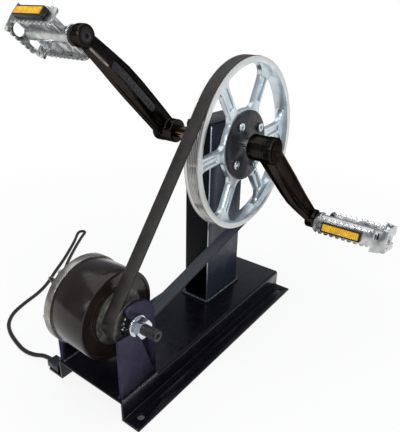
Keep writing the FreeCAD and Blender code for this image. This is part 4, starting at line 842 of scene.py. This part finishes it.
# %% Turned details of the cranks
def ring_groove(crank, side, radius, at, face, width, depth):
    """A fine ring turned into a face."""
    out = OUTWARD[side]
    groove = turned_bar("groove", radius + width / 2, out * face - depth, out * face + depth, at)
    core = turned_bar("core", radius - width / 2, out * face - 2 * depth, out * face + 2 * depth, at)
    cut(groove, core)
    cut(crank, groove)


def set_on_spindle(piece, side):
    """Turn a piece from the X axis to its crank's angle and bring it to the spindle."""
    piece.rotation_euler = (0, math.radians(CRANK_ANGLE[side]), 0)
    piece.location = mm(SPINDLE_AXIS[0], 0, SPINDLE_AXIS[1])
    place(piece)


cranks = {side: crank_blank(side) for side in ("right", "left")}
for side, crank in cranks.items():
    out = OUTWARD[side]
    outer = BOSS_SPAN[side][1]
    cut(crank, turned_bar("cap_seat", CAP_SEAT, out * (outer - CAP_SEAT_DEPTH), out * (outer + 3)))
    ring_groove(crank, side, BOSS_RING, (0, 0), outer + 0.1, 0.7, 0.5)
    eye_face = EYE_MIDDLE[side] - EYE_HALF
    ring_groove(crank, side, EYE_RING, (CRANK_THROW, 0), eye_face, 0.9, 0.8)
    bore_from, bore_to = out * (eye_face - 3), out * (eye_face + 2 * EYE_HALF + 3)
    cut(crank, turned_bar("eye_bore", EYE_BORE, bore_from, bore_to, (CRANK_THROW, 0)))
    print(crank.name, len(crank.data.polygons), "faces")

# %% [markdown]
# ### The oval panel
# The left arm has a shallow oval panel on the side toward the post, where such an arm carries raised marks.
# The tool is a thin strip that is extruded along the arm's own inner face, with its ends rounded by a wide
# bevel, so the panel is equally deep all along. A second, thinner strip is its floor, left rough and greyer
# than the arm, and it stays plain but for a row of small raised pads.

# %% Oval panel
PANEL_STATIONS = (42, 54, 78, 105, 128)
PANEL_WIDTH, PANEL_DEPTH = 16, 1.8
PANEL_FLOOR = 0.72  # its width as a part of the panel's
PADS_START, PAD_PITCH, PADS, PAD_RADIUS, PAD_HALF = 49, 6.4, 9, 1.2, 0.8
FLOOR_GAP, FLOOR_HALF = 1, 0.3


def inner_face(along):
    """The height of the left arm's inner face at a place along it."""
    along = min(max(along, 0), CRANK_THROW)
    for (x0, _, depth0, y0), (x1, _, depth1, y1) in zip(ARM_STATIONS["left"], ARM_STATIONS["left"][1:]):
        if x0 <= along <= x1:
            part = (along - x0) / (x1 - x0)
            return y0 - depth0 / 2 + part * (y1 - depth1 / 2 - y0 + depth0 / 2)


def panel_strip(name, width, low, high):
    """A strip that follows the arm's inner face from one depth to another, with rounded ends."""
    at, end = PANEL_STATIONS[:2]
    middle = ((at + end) / 2, inner_face(at) + (low + high) / 2, 0)
    strip = block(name, (end - at, high - low, width), middle)
    pick(strip, "FACE", end_face(end))
    bpy.ops.transform.translate(value=mm(0, inner_face(end) - inner_face(at), 0))
    for next_at in PANEL_STATIONS[2:]:
        pick(strip, "FACE", end_face(end))
        extrude_by(next_at - end, inner_face(next_at) - inner_face(end), 0)
        end = next_at

    def across_tip(edge):
        first, last = (vertex.co for vertex in edge.verts)
        at_tip = any(max(abs(first.x - tip * MM), abs(last.x - tip * MM)) < NEAR for tip in tips)
        return abs(first.z - last.z) < NEAR and at_tip

    tips = (PANEL_STATIONS[0], PANEL_STATIONS[-1])
    bevel_edges(strip, across_tip, 0.46 * width, 6, clamp_overlap=False)
    return strip


def raised_pad(along):
    """A small oval pad that stands in the panel."""
    middle = inner_face(along) + PANEL_DEPTH - 0.2
    pad = turned_bar("pad", PAD_RADIUS, middle - PAD_HALF, middle + PAD_HALF, (along, 0), sides=16)
    pad.scale = (1, 1, 2)
    place(pad)
    return pad


recess = panel_strip("panel", PANEL_WIDTH, -PANEL_DEPTH, PANEL_DEPTH)
pick(recess, "VERT", lambda vertex: vertex.co.y > (inner_face(vertex.co.x / MM) + PANEL_DEPTH / 2) * MM)
bpy.ops.transform.resize(value=(1, 1, PANEL_FLOOR), center_override=(0, 0, 0))
edit_done()
cut(cranks["left"], recess)
floor_width = PANEL_FLOOR * PANEL_WIDTH - FLOOR_GAP
floor_strip = panel_strip("panel_floor", floor_width, PANEL_DEPTH - FLOOR_HALF, PANEL_DEPTH + FLOOR_HALF)
pads = [raised_pad(PADS_START + PAD_PITCH * step) for step in range(PADS)]
panel_floor = join("crank_panel_floor", [floor_strip, *pads])
set_on_spindle(panel_floor, "left")
finish_piece(panel_floor, "panel_grey", "crank_set", smooth=30)

for side, crank in cranks.items():
    set_on_spindle(crank, side)
    finish_piece(crank, "gloss_black", "crank_set", f"{side}_crank", smooth=50)

# %% [markdown]
# ## Dust caps and hub bolts
# A pressed cap closes each boss. Its face is made by insetting the outer face of a disc again and again and
# pushing every other ring in or out, the way a lathe would leave it. The four hub bolts are button heads:
# one is made from a short bar with a rounded rim and a six-sided bar that is cut out of it, and the others
# are copies, each turned a little further.

# %% Dust caps
CAP_RADIUS, CAP_BACK, CAP_PROUD = 11.3, 2.4, 0.3
# Width of each ring and how far it is pushed outward, and the slope between two rings
CAP_RINGS, RING_SLOPE = ((1.6, -0.7), (2, 0.5), (1.4, -0.5), (2.6, 0.4)), 0.25


def ringed_cap(side):
    """A disc whose outer face steps in and out in rings."""
    out = OUTWARD[side]
    face = BOSS_SPAN[side][1]
    back, front = out * (face - CAP_BACK), out * (face + CAP_PROUD)
    cap = turned_bar(f"{side}_dust_cap", CAP_RADIUS, back, front, round_edge=0.4)
    pick(cap, "FACE", lambda item: item.normal.y * out > 0.9 and len(item.verts) > 8)
    for ring, step in CAP_RINGS:
        bpy.ops.mesh.inset(thickness=ring * MM)
        bpy.ops.mesh.inset(thickness=RING_SLOPE * MM)
        bpy.ops.transform.translate(value=mm(0, out * step, 0))
    edit_done()
    set_on_spindle(cap, side)
    return cap


caps = [ringed_cap("right"), ringed_cap("left")]
finish_piece(join("dust_caps", caps), "gloss_black", "crank_set", "crank_dust_caps", smooth=20)

# %% Hub bolts
BOLT_CIRCLE, BOLT_ANGLE = 33, 35
BOLT_FACE, BOLT_SEAT, BOLT_END = -45.6, -42, -31
BOLTS, HEAD_RADIUS, SOCKET_RADIUS, SHANK_RADIUS = 4, 5.5, 2.9, 3


def socket_bolt(name):
    """A button head with a bright rim and a hexagon socket, on the spindle axis."""
    head = turned_bar(name, HEAD_RADIUS, BOLT_FACE, BOLT_SEAT, round_edge=0.7, sides=40)
    socket = turned_bar("socket", SOCKET_RADIUS, BOLT_FACE - 1, BOLT_FACE + 2, sides=6)
    cut(head, socket)
    shank = turned_bar("shank", SHANK_RADIUS, BOLT_SEAT, BOLT_END, sides=24)
    return join(name, [head, shank])


bolts = [socket_bolt("hub_bolt_0")]
bolts += [copy_of(bolts[0], f"hub_bolt_{index}") for index in range(1, BOLTS)]
for index, bolt in enumerate(bolts):
    angle = math.radians(BOLT_ANGLE + 360 / BOLTS * index)
    across, rise = BOLT_CIRCLE * math.cos(angle), BOLT_CIRCLE * math.sin(angle)
    bolt.location = mm(SPINDLE_AXIS[0] + across, 0, SPINDLE_AXIS[1] + rise)
    bolt.rotation_euler = (0, 0.4 * index, 0)
    place(bolt)
finish_piece(join("hub_bolts_round", bolts), "zinc_plate", "crank_set", "hub_bolts")

# %% [markdown]
# ## The pedals
# A cast alloy cage with toothed plates turns on a smooth barrel, and a tall end wall closes it. The end wall
# is pierced by two windows and toothed along its rims, so a shoe finds grip there too. The measured cage
# already has the plates and the wall, so its copy is brought into the pedal's own frame, where the tools are
# straight, then the opening behind the wall, the windows and the notches are cut, the edges are eased, and
# the cage goes back to its place.

# %% Pedal frames
PEDAL_TILT = {"right": 13, "left": 41}
PEDAL_EYE = {"right": (186.75, -96, 130.67), "left": (-40.75, 124, 383.33)}


def pedal_matrix(side):
    """The pedal's own frame: X toward one reflector, Y along the axle."""
    turn = Matrix.Rotation(math.radians(PEDAL_TILT[side] - 180), 4, "Y")
    return Matrix.Translation(mm(*PEDAL_EYE[side])) @ turn


def move_by(piece, matrix):
    """Carry a piece's mesh from one frame to another."""
    piece.matrix_world = matrix
    place(piece)


def rounded_block(name, size, at, radius, axis):
    """A block whose edges along one axis are rounded."""
    piece = block(name, size, at)

    def along_axis(edge):
        step = edge.verts[1].co - edge.verts[0].co
        return abs(step[axis]) > 0.9 * step.length

    bevel_edges(piece, along_axis, radius, 4)
    return piece


# %% Cages
# Middle and size of each window across the end wall
WINDOWS = ((8.5, 3, 18, 19), (-19.5, 2, 20, 13))
WALL_START, WALL_END, WALL_TOP = 100.5, 115.5, 16.5
ROOT_START, ROOT_END, ROOT_WIDTH = 98.3, 99.6, 58
SLOT_SIZE, SLOT_AT = (12, 5, 10), (31.5, 103.5, -6)
NOTCHES_AT, NOTCH_SIZE = (-25.5, -17, -8.5, 0, 8.5, 17, 25.5), 4


def wall_tools(side):
    """The windows and the edge notches of the end wall, and the opening behind it, as one tool."""
    out = OUTWARD[side]
    parts = [
        rounded_block("window", (width, 14, height), (at, out * WALL_END, rise), 0.45 * height, 1)
        for at, rise, width, height in WINDOWS
    ]
    across, along, rise = SLOT_AT
    parts += [rounded_block("slot", SLOT_SIZE, (sign * across, out * along, rise), 1, 0) for sign in (-1, 1)]
    root_size = (ROOT_WIDTH, ROOT_END - ROOT_START, 2.5 * WALL_TOP)
    parts.append(block("root_opening", root_size, (0, out * (ROOT_START + ROOT_END) / 2, 0)))
    middle, length = (WALL_START + WALL_END) / 2 + 1, WALL_END - WALL_START + 2
    for at in NOTCHES_AT:
        for edge in (-1, 1):
            notch_at = (at, out * middle, edge * (WALL_TOP + 0.4))
            parts.append(block("notch", (NOTCH_SIZE, length, NOTCH_SIZE), notch_at, 45))
    return join("wall_tools", parts)


# The other parts of a pedal, with their finish and the width of their eased edges
PEDAL_PARTS = (
    ("barrel", "pedal_alloy", 0.5), ("seal", "soft_rubber", 0.6),
    ("end_cap", "black_plastic", 0.5), ("reflector_housings", "black_plastic", 1.1),
)
for side in ("right", "left"):
    frame_of_pedal = pedal_matrix(side)
    cage = copy_of(nodes[f"{side}_pedal_cage"], f"{side}_cage")
    pick(cage, "VERT")
    bpy.ops.mesh.remove_doubles(threshold=MERGE)
    join_flat_faces()
    move_by(cage, frame_of_pedal.inverted())
    cut(cage, wall_tools(side))
    bevel_edges(cage, sharp(40), 0.5, clamp_overlap=True)
    move_by(cage, frame_of_pedal)
    finish_piece(cage, "pedal_alloy", f"{side}_pedal", f"{side}_pedal_cage", smooth=50)
    for part, finish, width in PEDAL_PARTS:
        eased(f"{side}_pedal_{part}", finish, width)

# %% [markdown]
# ### Prism lenses
# A reflector's lens is a field of small prisms. A grid of panes is poked, so each pane becomes four
# triangles around a middle point, and the middle points are pushed in. The grid is extruded backward
# into a thin block first, which closes the lens. Its faces are then turned outward, or the poke would push
# the points the wrong way. Two such lenses per pedal sit in their housings.

# %% Lenses
LENS_MIDDLE, LENS_SIZE = 57.5, (51, 9.6)
LENS_FACE, LENS_BACK = 41.4, 39
PANES, PRISM_DEPTH = (5, 20), 0.7


def prism_lens(side, facing):
    """One lens in the pedal's own frame, with its field of prisms outward."""
    out = OUTWARD[side]
    length, height = LENS_SIZE
    lens = add_start(
        "grid", f"{side}_lens", x_subdivisions=PANES[0], y_subdivisions=PANES[1], size=1,
        location=mm(facing * LENS_FACE, out * LENS_MIDDLE, 0), rotation=(0, facing * math.pi / 2, 0),
    )
    lens.scale = mm(height, length, 1000)
    place(lens)
    pick(lens, "FACE")
    extrude_by(facing * (LENS_BACK - LENS_FACE), 0, 0)
    bpy.ops.mesh.select_all(action="SELECT")
    bpy.ops.mesh.normals_make_consistent(inside=False)
    front = facing * LENS_FACE * MM
    pick(lens, "FACE", lambda face: abs(face.calc_center_median().x - front) < NEAR)
    bpy.ops.mesh.poke(offset=-PRISM_DEPTH * MM)
    edit_done()
    return lens


for side in ("right", "left"):
    lenses = join(f"{side}_lenses", [prism_lens(side, facing) for facing in (-1, 1)])
    move_by(lenses, pedal_matrix(side))
    finish_piece(lenses, "amber_lens", f"{side}_pedal", f"{side}_pedal_reflector_lenses", smooth=5)

# %% [markdown]
# ## Nuts, washers and the threaded axle
# A bought nut is a hexagon bar whose corners are turned off at both ends. Crossing a six-sided bar with a
# round one whose rims are rounded gives just that. The axle keeps its measured form with eased ends, and
# its thread is a ringed bump in the finish, because real turns this fine would only add faces. The pedal
# axles get a hexagon socket for the key, and the spindle is eased only near its ends.

# %% Axle nuts and washers
NUT_CORNER, NUT_CHAMFER, NUT_BORE, NUT_SPAN = 10.97, 1.3, 6.2, (55, 65)
THREAD_SCALE, THREAD_START, SPINDLE_BARE = 250, 60, 40
KEY_SOCKET, KEY_DEPTH = 3.5, 3

thread = Finish("threaded_steel", (0.035, 0.035, 0.038), roughness=0.3, metallic=0.7, shine=0.3)
thread.tint((6, 4), ((0.02, 0.02, 0.022), (0.06, 0.06, 0.064)))
thread.rough((3, 3), 0.22, 0.38)
rings = thread.node("TexWave", thread.own_place, wave_type="BANDS", bands_direction="Y")
rings.inputs["Scale"].default_value = THREAD_SCALE
thread.bump(rings.outputs["Fac"], 0.35, 0.7)


def axle_nut(name, start, end):
    """A chamfered hexagon nut round the generator's axle."""
    nut = turned_bar(name, NUT_CORNER, start, end, sides=6)
    nut.rotation_euler = (0, math.radians(30), 0)
    place(nut)
    cut(nut, turned_bar("rims", NUT_CORNER, start, end, round_edge=NUT_CHAMFER), "INTERSECT")
    cut(nut, turned_bar("bore", NUT_BORE, start - 2, end + 2, sides=40))
    nut.location = mm(GENERATOR_AXIS[0], 0, GENERATOR_AXIS[1])
    place(nut)
    return nut


inner, outer = NUT_SPAN
nuts = join("chamfered_nuts", [axle_nut("front_nut", -outer, -inner), axle_nut("rear_nut", inner, outer)])
finish_piece(nuts, "zinc_plate", "frame", "axle_nuts", smooth=25)
eased("axle_washers", "zinc_plate", 0.4)
eased("generator_axle", "threaded_steel", 0.5, where=lambda at: abs(at.y) > THREAD_START)
for side in ("right", "left"):
    axle = eased(f"{side}_pedal_axle", "dark_steel", 0.5)
    x, y, z = PEDAL_EYE[side]
    face = y - OUTWARD[side] * EYE_HALF
    cut(axle, turned_bar("socket", KEY_SOCKET, face - KEY_DEPTH, face + KEY_DEPTH, (x, z), sides=6))
eased("crank_spindle", "spindle_steel", 0.5, where=lambda at: abs(at.y) > SPINDLE_BARE)

# %% [markdown]
# ## The belt's ribs
# A ribbed belt runs with its ribs in the pulleys' grooves, and its open stretch shows them as fine light and
# dark lines. The measured belt has the ribs, so only its two side edges are eased. A number on each face
# says whether it is the flat of a rib or the bottom of a groove, and the finish turns it into a painted
# highlight on the rib flats and painted shade in the groove bottoms.

# %% Ribs of the belt
BELT_MIDDLE, BELT_HALF, RIB_PITCH = -36, 7, 2.34
# As parts of the pitch: a face narrower than this is a rib's or a groove's, and a rib's middle lies this near
ONE_FACE, RIB_FLAT = 0.6, 0.3


def beside_ribs(at):
    """A test for the belt's two side edges, past the outer ribs."""
    return abs(at.y - BELT_MIDDLE) > BELT_HALF


ribbed_belt = eased("drive_belt", "belt_rubber", 0.2, where=beside_ribs)
marks = ribbed_belt.data.attributes.new("rib", "FLOAT", "FACE").data
# Each face gets 1 for a rib flat's painted highlight or -1 for a groove bottom's painted shade.
for face in ribbed_belt.data.polygons:
    across = [ribbed_belt.data.vertices[index].co.y / MM for index in face.vertices]
    if max(across) - min(across) < ONE_FACE * RIB_PITCH:
        ribs_off = (face.center.y / MM - BELT_MIDDLE) / RIB_PITCH
        marks[face.index].value = 1 if abs(ribs_off - round(ribs_off)) < RIB_FLAT else -1
ribs, grooves = (sum(sign * mark.value > 0 for mark in marks) for sign in (1, -1))
print("rib faces:", ribs, "groove faces:", grooves)

# %% [markdown]
# ## Weld beads
# A hand-made fillet weld is a chain of small overlapping drops. One drop is a squashed ball, an Array
# modifier lays a row of them, and a little seeded noise keeps them from looking stamped. Four rows make the
# ring round the post's foot, and two rows hold each upright.

# %% Weld beads
DROP_PITCH, DROP_NOISE = 2.1, 0.22


def bead_row(name, length, radius, seed):
    """A row of squashed drops along X, as long as asked."""
    drop = add_start("uv_sphere", name, segments=12, ring_count=7, radius=radius * MM)
    drop.scale = (0.8, 1, 1)
    place(drop)
    count = round(length / DROP_PITCH)
    modify(
        drop, "ARRAY", count=count, use_relative_offset=False, use_constant_offset=True,
        constant_offset_displace=mm(DROP_PITCH, 0, 0),
    )
    drop.location = mm(-DROP_PITCH * (count - 1) / 2, 0, 0)
    place(drop)
    pick(drop, "VERT")
    bpy.ops.transform.vertex_random(offset=DROP_NOISE * MM, seed=seed)
    edit_done()
    return drop


def lay_bead(row, at, turn):
    """Turn a row about Z and bring it to its seam."""
    row.rotation_euler = (0, 0, math.radians(turn))
    row.location = mm(*at)
    place(row)
    return row


# %% Rows of weld
POST_X, POST_Y, UPRIGHT_X, BASE_TOP = 73, 6.5, -146, 27
# Offset from the post's middle, length and turn of each row
POST_ROWS = ((0, -21.3, 80, 0), (0, 21.3, 80, 0), (-41.3, 0, 42, 90), (41.3, 0, 42, 90))
# Place across the base and length of each row
UPRIGHT_ROWS = ((-46.6, 52), (46.6, 52), (-53.4, 54), (53.4, 54))
POST_DROP, UPRIGHT_DROP = 2.7, 2.3

post_rows = [
    lay_bead(bead_row("post_bead", length, POST_DROP, seed), (POST_X + x, POST_Y + y, BASE_TOP + 1.3), turn)
    for seed, (x, y, length, turn) in enumerate(POST_ROWS, 1)
]
finish_piece(join("post_foot_weld", post_rows), "weld_bead", "frame", "post_weld", smooth=60)
upright_rows = [
    lay_bead(bead_row("upright_bead", length, UPRIGHT_DROP, seed), (UPRIGHT_X, y, BASE_TOP + 1.1), 0)
    for seed, (y, length) in enumerate(UPRIGHT_ROWS, 1 + len(POST_ROWS))
]
finish_piece(join("upright_foot_welds", upright_rows), "weld_bead", "frame", "upright_welds", smooth=60)

# %% [markdown]
# ## Sleeve, plug and cable in place
# The cable leaves the hollow axle through a soft sleeve with rings that get smaller outward, so it can bend
# there without a kink. Each ring is a short round bar with rounded rims on a thin core. The plug keeps its
# measured form with eased edges.

# %% Sleeve and plug
SLEEVE_START, SLEEVE_END, CORE_RADIUS = 67, 79, 3.3
RINGS, RING_PITCH, RING_LENGTH, FIRST_RING, RING_TAPER = 4, 2.9, 1.9, 5, 0.45

sleeve_parts = [turned_bar("sleeve_core", CORE_RADIUS, SLEEVE_START, SLEEVE_END, GENERATOR_AXIS, 0.4, 24)]
for index in range(RINGS):
    start = SLEEVE_START + 0.1 + RING_PITCH * index
    radius = FIRST_RING - RING_TAPER * index
    ring = turned_bar("sleeve_ring", radius, start, start + RING_LENGTH, GENERATOR_AXIS, 0.4, 24)
    sleeve_parts.append(ring)
finish_piece(join("ribbed_sleeve", sleeve_parts), "soft_rubber", "frame", "cable_sleeve")
plug = eased("cable_plug", "black_plastic", 0.8, segments=3)

# %% Cable in its place
coat(cable_lead, "cable_jacket")
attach(cable_lead, "frame")
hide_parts("cable")

# %% [markdown]
# ## Close the lesson
# Colours are shown as they are written, without a film curve.

# %% Colours as written
scene.view_settings.view_transform = "Standard"
